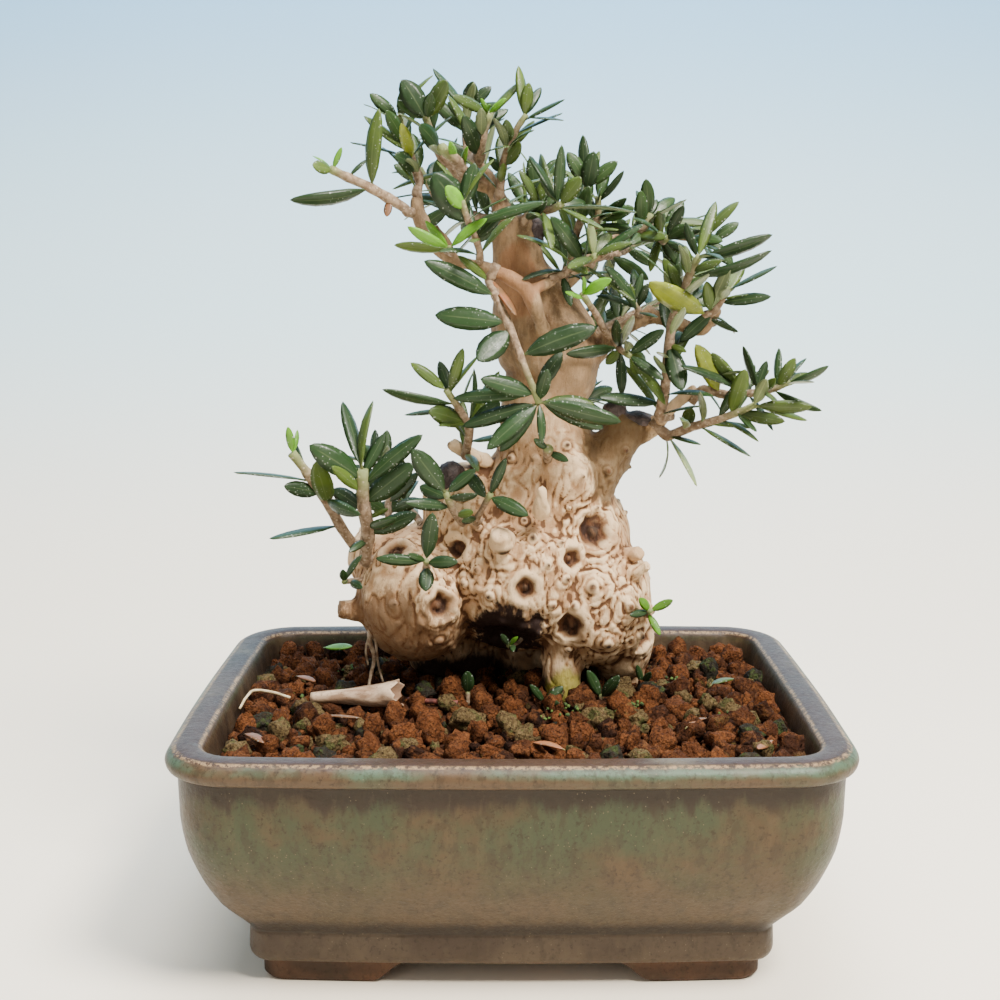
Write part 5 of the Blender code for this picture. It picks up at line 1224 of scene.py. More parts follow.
          ((30.5, 7, 102.5), (33, 6, 101.5), (36, 4, 103), (39.5, 2, 104.5), (44.5, -1, 106.5),
           (49, -4, 109)),
          ((1, 59.5, -8, 109, 2.5, "o"), (0.8, 54.5, -7, 106, 2.5, "o"),
           (0.42, 48.5, -4, 98.5, 1.9, "o"), (0.1, 38, -2, 92, 1.9, "p"),
           (0.3, 37.5, 6, 107.5, 3.1, "o"), (0.45, 36.5, 4, 113.5, 1.4, "d"),
           (0.75, 47, 1, 120.5, 3.7, "o"))),
    Shoot("mid_stub", 1.0, 0.9, None,
          ((7, -1, 97), (7.5, -4, 99.5), (7.5, -5, 100.5)),
          ((0.8, 11.5, -7, 98, 1.9, "d"), (0.9, 4.5, -7, 102.5, 1.6, "d"))),
    Shoot("hole_sprout", 0.5, 0.4, None,
          ((-0.5, 2, 55), (-0.5, -2, 58.5)),
          ((1, -2, -4, 61.5, 1.4, "d"), (1, 1.5, -4, 61, 1.2, "b"), (0.7, 0.5, -5, 58, 1.6, "d"))),
    Shoot("right_sprout", 0.6, 0.5, None,
          ((27.5, 3, 63.5), (28.5, 0, 65), (29, -2, 66)),
          ((1, 26.5, -3, 69, 1.9, "b"), (1, 33.5, -3, 68.5, 1.9, "b"), (0.8, 24.5, -4, 65.5, 1.9, "d"),
           (0.6, 31, -3, 61, 1.6, "b"))),
    Shoot("soil_sprout_a", 0.5, 0.4, None,
          ((7.5, -4, 44.5), (7, -4, 47.5)),
          ((1, 4, -5, 51, 1.9, "d"), (1, 11, -3, 50, 2.1, "d"), (0.8, 10, -8, 48, 1.6, "d"))),
    Shoot("soil_sprout_b", 0.5, 0.4, None,
          ((19, -2, 44), (19, -2, 48)),
          ((1, 16, -3, 53.5, 2.7, "d"), (1, 22.5, -5, 53, 2.9, "d"))),
    Shoot("soil_sprout_c", 0.5, 0.4, None,
          ((28.5, 7, 45), (28.5, 7, 48)),
          ((1, 27, 6, 52.5, 1.6, "d"), (1, 30, 4, 51, 1.6, "d"))),
    Shoot("soil_sprout_d", 0.5, 0.4, None,
          ((-9, 0, 45), (-9, 0, 48)),
          ((1, -9, -2, 53, 3.1, "d"),)),
    Shoot("crown_far", 0.9, 0.5, (3, 9.5, 3.0),
          ((27, 22, 143.5), (35, 23, 142.5), (43.5, 22.5, 141.5)),
          ()),
    Shoot("back_left_up", 1.1, 0.6, (5, 10, 3.2),
          ((-8.5, 16, 143.5), (-15, 24, 150), (-19.5, 28, 157)),
          ()),
    Shoot("back_up", 1.1, 0.6, (5, 10, 3.2),
          ((-1, 18, 145), (-4.5, 27, 153), (-6.5, 30, 161)),
          ()),
    Shoot("back_right_up", 1.1, 0.6, (4, 9.5, 3.2),
          ((2, 20, 143.5), (5, 28, 149), (7, 32, 155)),
          ()),
    Shoot("back_high", 1.1, 0.6, (5, 10, 3.2),
          ((18, 21, 137.5), (24.5, 31, 139), (29.5, 38, 141.5)),
          ()),
    Shoot("back_right", 1.1, 0.6, (5, 10, 3.2),
          ((19.5, 20, 120.5), (31, 32, 127), (40, 36, 131)),
          ()),
    Shoot("back_mid", 1.1, 0.6, (5, 10, 3.2),
          ((11, 24, 122.5), (17, 35, 121.5), (23, 40, 124)),
          ()),
    Shoot("back_low", 1.0, 0.6, (4, 10, 3.4),
          ((11, 22, 109), (14.5, 31, 106), (17.5, 37, 104)),
          ()),
    Shoot("back_left_low", 1.0, 0.6, (4, 10, 3.4),
          ((-20, 26, 80), (-27, 32, 86), (-32, 35, 92)),
          ()),
)
SOIL_SHOOTS = ("soil_sprout_a", "soil_sprout_b", "soil_sprout_c", "soil_sprout_d")

# %% Find the leaves
ROOT_DEPTH, SLENDEREST, LEAF_TRIES, LEAF_SEED = 0.6, 0.25, 14, 26
PROBE_REACH, STEM_SINK, STEM_RISE = 2.0, 0.5, 1.2
TIP_CLOSENESS = 0.16


def along_route(line, share):
    """The place and direction at a share of the way along a line of points."""
    spans = [(b - a).length for a, b in zip(line, line[1:])]
    goal = min(share * sum(spans), sum(spans) - ROOT_DEPTH)
    for a, b, span in zip(line, line[1:], spans):
        if goal <= span:
            return a + (b - a) * (goal / span), (b - a).normalized()
        goal -= span
    return line[-1], (line[-1] - line[-2]).normalized()


def rule_leaves(shoot, line, draw):
    """Opposite pairs along the shoot, each pair a quarter turn from the last."""
    count, length, width = shoot.pairs
    roll = draw.uniform(0, math.pi)
    for pair in range(count):
        share = 1.0 if count == 1 else 0.35 + 0.65 * pair / (count - 1)
        place, ahead = along_route(line, share)
        across = ahead.orthogonal().normalized()
        size = length * draw.uniform(0.85, 1.12) * (0.78 if pair == count - 1 else 1.0)
        opening = math.radians(62 - 26 * pair / max(count - 1, 1) + draw.uniform(-7, 7))
        for half_turn in (0, math.pi):
            turn = Matrix.Rotation(roll + half_turn + draw.uniform(-0.25, 0.25), 3, ahead)
            way = ahead * math.cos(opening) + (turn @ across) * math.sin(opening)
            yield place, place + way * size, width, "r"
        roll += math.pi / 2


def leaf_face(root, tip, seen_width, width, hand):
    """The way a leaf's upper side looks, so that from the front it shows the seen width."""
    ahead = (tip - root).normalized()
    to_viewer = Vector((0, -1, 0.35))
    level = (to_viewer - ahead * to_viewer.dot(ahead)).normalized()
    roll = math.acos(min(seen_width / width, 1.0))
    return Matrix.Rotation(roll * hand, 3, ahead) @ level


def leaf_tries(root, tip, seen_width, hand):
    """The leaf as wanted, and then turned a little nearer, further or shorter."""
    reach = tip - root
    width = max(seen_width, SLENDEREST * reach.length)
    for attempt in range(LEAF_TRIES):
        step = (attempt + 1) // 2 * (1 if attempt % 2 else -1)
        shorter = 1.0 - 0.02 * attempt
        new_tip = root + (reach + Vector((0, 0.14 * step * reach.length, 0))).normalized() * (
            reach.length * shorter)
        yield new_tip, leaf_face(root, new_tip, seen_width, width, hand), width


def rooted_route(shoot, bark):
    """The shoot's route, rising square out of the bark from just inside it."""
    route = [Vector(point) for point in shoot.route]
    if shoot.name in SOIL_SHOOTS:
        return route
    onward = route[1] - route[0]
    probe = route[0] + onward.normalized() * min(PROBE_REACH, onward.length)
    spot, outward, _, _ = bark.find_nearest(probe * MM)
    start = spot / MM
    return [start - outward * STEM_SINK, start + outward * STEM_RISE] + route[1:]


def node_corners(name):
    """A search tree of the corner points of a solid's mesh."""
    mesh = frame["nodes"][name].data
    tree = kdtree.KDTree(len(mesh.vertices))
    for vertex in mesh.vertices:
        tree.insert(vertex.co, vertex.index)
    tree.balance()
    return tree


Leaf = namedtuple("Leaf", "root tip face width arch kind")
LEAF_ARCHES = (0.03, 0.06, 0.1)


def find_leaves():
    """Every shoot's route and the leaves that its solid has."""
    draw = random.Random(LEAF_SEED)
    bark = bark_tree(frame["nodes"]["trunk"].data)
    found = {}
    wanted_count = 0
    for shoot in SHOOTS:
        route = rooted_route(shoot, bark)
        line = smooth_route(route, 1 if len(shoot.route) > 2 else 2)
        corners = node_corners("shoot_" + shoot.name)
        wanted = [(along_route(line, share)[0], Vector((x, y, z)), seen_width, kind)
                  for share, x, y, z, seen_width, kind in shoot.leaves]
        if shoot.pairs:
            wanted += list(rule_leaves(shoot, line, draw))
        leaves = []
        for root, tip, seen_width, kind in wanted:
            arch = draw.choice(LEAF_ARCHES)
            hand = draw.choice((-1, 1))
            for new_tip, face, width in leaf_tries(root, tip, seen_width, hand):
                if corners.find(new_tip * MM)[2] < TIP_CLOSENESS * MM:
                    leaves.append(Leaf(root, new_tip, face, width, arch, kind))
                    break
        wanted_count += len(wanted)
        found[shoot.name] = (shoot, route, leaves)
    print("leaves found:", sum(len(leaves) for _, _, leaves in found.values()), "of", wanted_count)
    return found


shoots = find_leaves()

# %% [markdown]
# ## Leaf and twig finishes
#
# An olive leaf is dark and waxy above, with a thin pale midrib, and grey green below, because
# tiny scales cover its underside. Dust and lime from watering lie in specks along its edges.
# Each leaf carries its own tint, and numbers for how far along and across it a point lies.

# %% Leaf finish
leaf_finish, net, shader, place = new_finish("olive_leaf")
along = net.attribute("along")
aside = net.math("ABSOLUTE", net.attribute("across"))
under = net.attribute("under")
tint = net.add("ShaderNodeAttribute", attribute_name="tint").outputs["Color"]
cloud = net.noise(place, 260, 4)
fine = net.noise(place, 1500, 3, 0.7)
colour = net.coat(tint, net.band(cloud, 0.34, 0.66), 0.45, (0.034, 0.056, 0.026))
rib = net.math("MULTIPLY", net.band(aside, 0.09, 0.02), net.band(along, 0.95, 0.75))
colour = net.coat(colour, rib, 0.14, (0.230, 0.280, 0.125))
below = net.mix(0.5, tint, (0.290, 0.350, 0.190))
below = net.coat(below, net.band(aside, 0.13, 0.04), 0.5, (0.340, 0.390, 0.170))
colour = net.mix(under, colour, below)
lime = net.cells(place, 1350)
crust = net.math("MULTIPLY", net.band(lime, 0.30, 0.16), net.band(aside, 0.35, 0.92))
crust = net.math("MAXIMUM", crust, net.math("MULTIPLY", net.band(lime, 0.16, 0.10), 0.7))
crust = net.math("MULTIPLY", crust, net.band(cloud, 0.40, 0.54))
colour = net.coat(colour, crust, 0.6, (0.500, 0.540, 0.480))
colour = net.coat(colour, net.band(along, 0.12, 0.02), 0.8, (0.180, 0.190, 0.070))
shine = net.math("MULTIPLY", net.math("ADD", fine, 0.45), 0.40)
wire(net, shader, colour, shine, 0.30, net.bump(fine, 0.18, 0.0002, net.bump(cloud, 0.3, 0.0006)))
print("leaf finish:", len(net.tree.nodes), "nodes")

# %% Twig finish
twig_finish, net, shader, place = new_finish("olive_twig")
young = net.attribute("young")
fibre = net.noise(place, 900, 4)
colour = net.mix(net.band(fibre, 0.35, 0.65), (0.310, 0.225, 0.150), (0.150, 0.098, 0.060))
colour = net.mix(net.band(young, 0.75, 1.0), colour, (0.185, 0.215, 0.085))
warts = net.cells(place, 900)
colour = net.coat(colour, net.band(warts, 0.24, 0.14), 0.55, (0.480, 0.400, 0.290))
wire(net, shader, colour, 0.7, 0.20, net.bump(fibre, 0.5, 0.0003, net.bump(warts, 0.4, 0.0002)))

# %% [markdown]
# ## One leaf, many times
#
# Every leaf is a copy of one of three, which differ in how far they arch. The pattern leaf is
# one unit long and one wide: a narrow stalk, an oval blade with a shallow fold along its
# midrib, and edges that roll under. A Geometry Nodes tree copies it on to points that carry the
# turn, the size, the form and the tint of each leaf, and joins the bare twig to them.

# %% Pattern leaf
LEAF_OUTLINE = ((0.0, 0.045), (0.08, 0.060), (0.16, 0.215), (0.30, 0.395), (0.50, 0.480), (0.70, 0.450),
                (0.85, 0.325), (0.95, 0.165), (1.0, 0.0))
LEAF_THICKNESS = 0.022


def pattern_leaf(name, arch):
    shape = bmesh.new()
    along = shape.verts.layers.float.new("along")
    across = shape.verts.layers.float.new("across")
    under = shape.faces.layers.float.new("under")

    def corner(share, half, side, drop):
        roll = 0.05 * side * side - 0.10 * side ** 4
        rise = 4 * arch * share * (1 - share) + (roll * half if half > 0.1 else 0)
        made = shape.verts.new((share, side * half, rise - drop))
        made[along] = share
        made[across] = side
        return made

    rows = []
    for share, half in LEAF_OUTLINE[:-1]:
        top = [corner(share, half, side, 0) for side in (-1, -0.5, 0, 0.5, 1)]
        low = [corner(share, half, side, LEAF_THICKNESS) for side in (0.5, 0, -0.5)]
        rows.append(top + low)
    tip = corner(1.0, 0.0, 0, 0)
    for near, far in zip(rows, rows[1:]):
        for i in range(8):
            j = (i + 1) % 8
            made = shape.faces.new((near[i], near[j], far[j], far[i]))
            made[under] = float(i > 3)
    for i in range(8):
        made = shape.faces.new((rows[-1][i], rows[-1][(i + 1) % 8], tip))
        made[under] = float(i > 3)
    shape.faces.new(rows[0])
    return finished(name, shape, [leaf_finish])


patterns = [pattern_leaf("leaf_form_%d" % i, arch) for i, arch in enumerate(LEAF_ARCHES)]
pattern_group = group_of("leaf_forms", patterns)
print("pattern leaf:", len(patterns[0].data.polygons), "faces")

# %% Leafing tree
def leafing_tree():
    tree = new_tree("leaves_on_points")
    ids = {
        "twig": group_input(tree, "Twig", "NodeSocketObject"),
        "forms": group_input(tree, "Leaf forms", "NodeSocketCollection"),
        "finish": group_input(tree, "Leaf finish", "NodeSocketMaterial"),
        "size": group_input(tree, "Leaf size", "NodeSocketFloat", 1.0),
    }
    net = Net(tree)
    given = net.add("NodeGroupInput").outputs

    def carried(name, kind):
        return net.add("GeometryNodeInputNamedAttribute", {"Name": name}, data_type=kind).outputs[0]

    forms = net.add("GeometryNodeCollectionInfo", {"Separate Children": True, "Reset Children": True},
                    {"Collection": given["Leaf forms"]})
    size = net.add("ShaderNodeVectorMath", None, {0: carried("size", "FLOAT_VECTOR"),
                                                  "Scale": given["Leaf size"]}, operation="SCALE")
    placed = net.add("GeometryNodeInstanceOnPoints", {"Pick Instance": True},
                     {"Points": given["Geometry"], "Instance": forms.outputs[0],
                      "Instance Index": carried("form", "INT"), "Rotation": carried("turn", "FLOAT_VECTOR"),
                      "Scale": size.outputs[0]})
    real = net.add("GeometryNodeRealizeInstances", None, {0: placed.outputs[0]})
    coated = net.add("GeometryNodeSetMaterial", None,
                     {"Geometry": real.outputs[0], "Material": given["Leaf finish"]})
    twig = net.add("GeometryNodeObjectInfo", None, {"Object": given["Twig"]}, transform_space="ORIGINAL")
    both = net.add("GeometryNodeJoinGeometry")
    net.tree.links.new(coated.outputs[0], both.inputs[0])
    net.tree.links.new(twig.outputs["Geometry"], both.inputs[0])
    net.add("NodeGroupOutput", None, {0: both.outputs[0]})
    return tree, ids


leafing, leafing_ids = leafing_tree()
print("leafing tree:", len(leafing.nodes), "nodes")

# %% [markdown]
# ## The sprays
#
# A spray is one shoot with all its leaves, and stands for one solid. Its twig starts inside the
# trunk, so that no gap shows, and swells a little wherever a pair of leaves sits.

# %% Sprays
TINTS = {
    "d": (0.013, 0.035, 0.009), "o": (0.062, 0.100, 0.014), "b": (0.115, 0.300, 0.018),
    "y": (0.270, 0.320, 0.028), "p": (0.250, 0.310, 0.130), "x": (0.210, 0.080, 0.035),
    "r": (0.024, 0.054, 0.012),
}
STEM_DEPTH = 2.2


FULL_SHOOTS = ("top_", "crown_", "riser", "back_", "fork_", "front_up", "right_low", "mid_left")
PAIR_SPACING = 4.2
LEAST_ROOM = 1.5
FILL_OPENINGS, FILL_LENGTHS, FILL_WIDTHS, FILL_KINDS = (38, 70), (8.5, 13.5), (2.2, 3.1), "ddrroooo"
fill_draw = random.Random(12)
leaf_middles = [leaf.root.lerp(leaf.tip, share) for _, _, leaves in shoots.values() for leaf in leaves
                for share in (0.5, 0.8)]


def filling_leaves(shoot, line):
    """Pairs of slender leaves between those of the solid, wherever there is room for one."""
    if not shoot.name.startswith(FULL_SHOOTS):
        return []
    length = sum((b - a).length for a, b in zip(line, line[1:]))
    extra = []
    for pair in range(int(length / PAIR_SPACING) + 1):
        share = (pair + 0.5) * PAIR_SPACING / length
        if share > 1:
            break
        place, ahead = along_route(line, share)
        roll = fill_draw.uniform(0, math.pi)
        for half_turn in (0, math.pi):
            turn = Matrix.Rotation(roll + half_turn, 3, ahead)
            opening = math.radians(fill_draw.uniform(*FILL_OPENINGS))
            way = ahead * math.cos(opening) + (turn @ ahead.orthogonal().normalized()) * math.sin(opening)
            tip = place + way * fill_draw.uniform(*FILL_LENGTHS)
            middles = [place.lerp(tip, 0.5), place.lerp(tip, 0.8)]
            if min((a - b).length for a in middles for b in leaf_middles) < LEAST_ROOM:
                continue
            leaf_middles.extend(middles)
            face = (Vector((0, 0, 1)) + ahead * 0.6 + Vector((0, -0.4, 0))).normalized()
            kind = fill_draw.choice(FILL_KINDS)
            width = fill_draw.uniform(*FILL_WIDTHS)
            extra.append(Leaf(place, tip, face, width, fill_draw.choice(LEAF_ARCHES), kind))
    return extra


MORE_LEAVES = {
    "drop": (
        ((5.9, -11, 107.9), (-4.8, -14, 101.3), 4.0, "d"),
        ((5.7, -10, 108.5), (-9.7, -9, 105.2), 3.5, "d"),
        ((3.3, -10, 112.4), (-11.5, -8, 110.7), 3.5, "d"),
        ((7.4, -10, 109.8), (16.5, -9, 109.5), 3.7, "o"),
        ((5.7, -10, 107.5), (-2.2, -9, 100.2), 3.4, "d"),
        ((-4.3, -9, 131.9), (-16.9, -10, 137.5), 4.0, "d"),
    ),
    "mid_left": (((-8.5, 1, 103.5), (-2.1, -3, 109.6), 3.6, "d"),),
    "front_up": (((-7.1, -8, 144.5), (6.6, -10, 148.7), 2.4, "d"),
                 ((-6.7, -7, 141.4), (-1.8, -8, 146.5), 2.7, "d")),
}


def added_leaves(name, line):
    """Big leaves in front of the trunk, which cross others and so had no room in the solids."""
    added = []
    for start, tip, width, kind in MORE_LEAVES.get(name, ()):
        root = min(line, key=lambda spot: (spot - Vector(start)).length)
        face = leaf_face(root, Vector(tip), width, width, 1)
        added.append(Leaf(root, Vector(tip), face, width, 0.06, kind))
    return added


def store_each(mesh, name, kind, key, values):
    layer = mesh.attributes.new(name, kind, "POINT")
    layer.data.foreach_set(key, [number for value in values for number in value])


def make_twig(shoot, route, leaves):
    line = smooth_route(route, 4)
    if shoot.name not in SOIL_SHOOTS:
        line = [line[0] + (line[0] - line[1]).normalized() * STEM_DEPTH] + line
    last = len(line) - 1
    points = []
    for i, spot in enumerate(line):
        radius = shoot.base_radius + (shoot.tip_radius - shoot.base_radius) * i / last
        near_leaf = min([(leaf.root - spot).length for leaf in leaves] or [9.0])
        points.append(Vector((*spot, radius * (1 + 0.22 * math.exp(-near_leaf ** 2)))))
    shape = bmesh.new()
    young = shape.verts.layers.float.new("young")
    rings = tube(shape, points, 8, bark=0.12, seed=len(leaves))
    for i, ring in enumerate(rings):
        for corner in ring:
            corner[young] = i / last
    return finished("twig", shape, [twig_finish]), line


def leaf_points(name, leaves, roots, draw):
    """An object of bare points, one for each leaf, that carry its turn, size, tint and form."""
    points = []
    turns = []
    sizes = []
    tints = []
    forms = []
    for leaf, root in zip(leaves, roots):
        ahead = leaf.tip - root
        length = ahead.length
        ahead.normalize()
        up = (leaf.face - ahead * leaf.face.dot(ahead)).normalized()
        shade = draw.uniform(0.75, 1.3)
        points.append(root * MM)
        turns.append(Matrix((ahead, up.cross(ahead), up)).transposed().to_euler())
        sizes.append(Vector((length, leaf.width * draw.uniform(0.9, 1.08), length)) * MM)
        tints.append([channel * shade for channel in TINTS[leaf.kind]] + [1.0])
        forms.append(LEAF_ARCHES.index(leaf.arch))
    mesh = bpy.data.meshes.new(name)
    mesh.from_pydata(points, [], [])
    store_each(mesh, "turn", "FLOAT_VECTOR", "vector", turns)
    store_each(mesh, "size", "FLOAT_VECTOR", "vector", sizes)
    store_each(mesh, "tint", "FLOAT_COLOR", "color", tints)
    mesh.attributes.new("form", "INT", "POINT").data.foreach_set("value", forms)
    piece = bpy.data.objects.new(name, mesh)
    bpy.context.scene.collection.objects.link(piece)
    return piece


def grow_leaves(piece, twig):
    """Let the tree put a leaf on every point and join the twig, which is then done with."""
    run_tree(piece, leafing, leafing_ids, twig=twig, forms=pattern_group, finish=leaf_finish, size=1.0)
    discard(twig)
    piece.data.shade_smooth()


# %% Grow every spray
def make_spray(shoot, route, leaves, draw):
    line = smooth_route(route, 4)
    leaves = leaves + added_leaves(shoot.name, line) + filling_leaves(shoot, line)
    twig, line = make_twig(shoot, route, leaves)
    roots = []
    for leaf in leaves:
        near = min(line, key=lambda spot: (spot - leaf.root).length)
        roots.append(near.lerp(leaf.root, 0.5))
    spray = leaf_points("spray_" + shoot.name, leaves, roots, draw)
    grow_leaves(spray, twig)
    take_place(spray, "leaf", "shoot_" + shoot.name)
    return spray, len(leaves)


tint_draw = random.Random(4)
sprays = [make_spray(*shoots[name], tint_draw) for name in shoots]
print("sprays:", len(sprays), "with", sum(count for _, count in sprays), "leaves and",
      sum(len(spray.data.polygons) for spray, _ in sprays), "faces")

# %% [markdown]
# ## Wound paste
#
# Large cuts were sealed with a dark paste, dabbed on with a finger. It dries to a dull violet
# grey skin with fine cracks. Each dab is one or two lumps on the bark, merged by a voxel remesh
# and pushed about by noise, and sinks into the bark so that no gap shows.

# %% Wound paste
paste_finish, net, shader, place = new_finish("wound_paste")
cloud = net.noise(place, 260, 4)
cracks = net.cells(place, 620, feature="DISTANCE_TO_EDGE")
colour = net.mix(net.band(cloud, 0.35, 0.65), (0.030, 0.021, 0.020), (0.115, 0.085, 0.082))
colour = net.coat(colour, net.band(cracks, 0.06, 0.0), 0.7, (0.014, 0.011, 0.012))
wire(net, shader, colour, 0.6, 0.25, net.bump(cracks, 0.5, 0.0003, net.bump(cloud, 0.6, 0.0008)))

PASTE_VOXEL, PASTE_ROUNDS = 0.35, 4
PASTE_DABS = {
    "wound_paste_stub": (((21.6, 8, 106.6), (2.5, 2.8, 2.5)), ((26.5, 8.6, 105.8), (4.4, 3.4, 1.8))),
    "wound_paste_shoulder": (((-12.5, 6, 93), (2.9, 3.2, 3.4)),),
    "wound_paste_top": (((5.6, 8, 143), (1.9, 2.8, 3.3)),),
}


def make_paste(node, lumps, bark):
    shape = bmesh.new()
    for middle, half_sizes in lumps:
        lump(shape, bark.find_nearest(Vector(middle) * MM)[0] / MM, half_sizes)
    dab = finished("dab_" + node, shape, [])
    one_skin(dab, PASTE_ROUNDS, PASTE_VOXEL)
    moves = []
    for vertex in dab.data.vertices:
        place = vertex.co / MM
        move = 0.45 * noise.noise(place * 0.5) + 0.2 * noise.noise(place * 1.7)
        moves.append(vertex.normal * move * MM)
    for vertex, move in zip(dab.data.vertices, moves):
        vertex.co += move
    put_on(dab, paste_finish)
    take_place(dab, "paste", node)


solid_bark = bark_tree(frame["nodes"]["trunk"].data)
for node, lumps in PASTE_DABS.items():
    make_paste(node, lumps, solid_bark)

# %% [markdown]
# ## Litter on the soil
#
# A scrap of bark has dried into an open horn beside the trunk, a reddish dead stem and a straw
# lie near it, and hair-like roots hang from the cut stub. Each is a thin sheet or tube along a
# few listed points. The bark scrap and the dead stem stand for solids, so they are let
# into the solids' own places.

# %% Dead bark finish
dead_bark, net, shader, place = new_finish("dead_bark")
turned = net.attribute("turned")
fibre = net.noise(place, 420, 5, 0.6, stretch=(0.25, 1, 1))
colour = net.mix(net.band(fibre, 0.38, 0.62), (0.240, 0.150, 0.092), (0.520, 0.385, 0.270))
colour = net.coat(colour, turned, 0.75, (0.190, 0.105, 0.062))
colour = net.coat(colour, net.band(net.noise(place, 1500, 3), 0.58, 0.70), 0.5, (0.110, 0.060, 0.035))
wire(net, shader, colour, 0.75, 0.2, net.bump(fibre, 0.5, 0.0004))


def dry_finish(name, dark, light):
    finish, net, shader, place = new_finish(name)
    fibre = net.noise(place, 700, 4)
    colour = net.mix(net.band(fibre, 0.35, 0.65), dark, light)
    wire(net, shader, colour, 0.7, normal=net.bump(fibre, 0.4, 0.0003))
    return finish


red_stem = dry_finish("red_stem", (0.060, 0.013, 0.010), (0.200, 0.050, 0.032))
straw_finish = dry_finish("pale_straw", (0.420, 0.320, 0.170), (0.640, 0.540, 0.350))
root_finish = dry_finish("root_hair", (0.230, 0.150, 0.090), (0.520, 0.400, 0.270))

# %% Bark horn
BARK_CURL = ((-41, -4, 49.0, 1.4), (-34, -5, 49.6, 2.0), (-27, -6, 50.2, 3.0), (-23, -6.5, 50.8, 3.6))
CURL_TURN, CURL_STEPS = (-80.0, 215.0), 21


def let_into(piece, node):
    """Move the piece so that its middle is the solid's."""
    low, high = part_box(node)
    corners = [vertex.co for vertex in piece.data.vertices]
    shift = Vector()
    for axis in range(3):
        own = (min(c[axis] for c in corners) + max(c[axis] for c in corners)) / 2
        shift[axis] = (low[axis] + high[axis]) / 2 - own
    piece.data.transform(Matrix.Translation(shift))


def make_bark_horn():
    line = smooth_route(BARK_CURL, 8)
    shape = bmesh.new()
    turned = shape.verts.layers.float.new("turned")
    sheets = []
    for inner in (0, 1):
        rows = []
        for i, spot in enumerate(line):
            ahead = (line[min(i + 1, len(line) - 1)] - line[max(i - 1, 0)]).to_3d().normalized()
            across = ahead.cross(Vector((0, 0, 1))).normalized()
            rise = across.cross(ahead)
            row = []
            for step in range(CURL_STEPS + 1):
                angle = math.radians(CURL_TURN[0] + (CURL_TURN[1] - CURL_TURN[0]) * step / CURL_STEPS)
                wave = 1 + 0.10 * noise.noise(Vector((i * 0.22, step * 0.35, 2.0)))
                reach = spot.w * (0.92 + 0.14 * step / CURL_STEPS) * wave - 0.45 * inner
                way = across * math.cos(angle) - rise * math.sin(angle) * 0.85
                torn = ahead * 1.6 * noise.noise(Vector((step * 0.45, 7, 1))) * (i / (len(line) - 1)) ** 3
                corner = shape.verts.new((spot.to_3d() + way * reach + torn) * MM)
                corner[turned] = inner
                row.append(corner)
            rows.append(row)
        sheets.append(rows)
    outer, lining = sheets
    for rows in sheets:
        stitch(shape, rows, caps=(), closed=False)
    for i in range(CURL_STEPS):
        shape.faces.new((outer[0][i], outer[0][i + 1], lining[0][i + 1], lining[0][i]))
        shape.faces.new((outer[-1][i], outer[-1][i + 1], lining[-1][i + 1], lining[-1][i]))
    for side in (0, CURL_STEPS):
        for i in range(len(line) - 1):
            shape.faces.new((outer[i][side], outer[i + 1][side], lining[i + 1][side], lining[i][side]))
    horn = finished("bark_horn", shape, [dead_bark])
    let_into(horn, "bark_curl")
    take_place(horn, "dead_bark", "bark_curl")


make_bark_horn()

# %% Dead stem, straw and root hairs
DRY_STEM = ((-21.5, -2, 48.4, 0.6), (-16, -3.5, 48.6, 0.6), (-11, -4, 48.4, 0.6))
STRAW = ((-55.8, -7.5, 46.6, 0.25), (-55.0, -4, 47.9, 0.28), (-53.8, -1.5, 48.6, 0.3),
         (-50, -2.0, 48.4, 0.32), (-46, -3.2, 47.6, 0.28))
ROOT_HAIRS = (
    ((-29.2, 4.5, 62.6, 0.7), (-29.8, 3.2, 58.5, 0.55), (-28.8, 2.6, 54.5, 0.45), (-29.6, 2.4, 51.0, 0.35),
     (-30.2, 2.2, 47.5, 0.3)),
    ((-28.8, 4.2, 61.8, 0.4), (-28.4, 2.8, 57.0, 0.3), (-28.0, 2.6, 53.0, 0.25), (-27.0, 1.8, 49.5, 0.2)),
    ((-29.4, 4.2, 60.5, 0.3), (-30.6, 3.0, 56.5, 0.25), (-30.2, 2.9, 52.8, 0.2)),
)


def make_litter(name, lines, finish, sides=8):
    shape = bmesh.new()
    for number, line in enumerate(lines):
        tube(shape, smooth_route(line, 7), sides, bark=0.22, seed=3 * number)
    return finished(name, shape, [finish])


dead_stem = make_litter("dead_stem", [DRY_STEM], red_stem)
let_into(dead_stem, "dry_stem")
take_place(dead_stem, "dead_bark", "dry_stem")
straw = make_litter("straw", [STRAW], straw_finish)
root_hairs = make_litter("root_hairs", ROOT_HAIRS, root_finish)
for piece in (straw, root_hairs):
    ride_along(piece)
print("litter:", dead_stem.name, straw.name, root_hairs.name)

# %% Fallen leaves
FALLEN = (
    ((-43.5, 32.5, 48.2), (-36.5, 31, 48.9), 3.4, "b"), ((-47, 12, 47.6), (-42, 7, 47.9), 2.2, "x"),
    ((-38, -14, 47.4), (-30, -16, 47.6), 2.6, "x"), ((34, -22, 47.4), (39, -17, 47.9), 2.4, "x"),
    ((43, 6, 47.2), (49, 10, 47.6), 2.6, "o"), ((20, 38, 47.0), (28, 35, 47.6), 3.0, "x"),
    ((-12, 40, 47.2), (-20, 38, 47.4), 2.8, "d"), ((-52, -24, 47.0), (-47, -30, 47.3), 2.3, "x"),
    ((10, -34, 47.4), (4, -31, 47.8), 2.2, "x"), ((50, -28, 47.2), (46, -34, 47.6), 2.4, "x"),
)


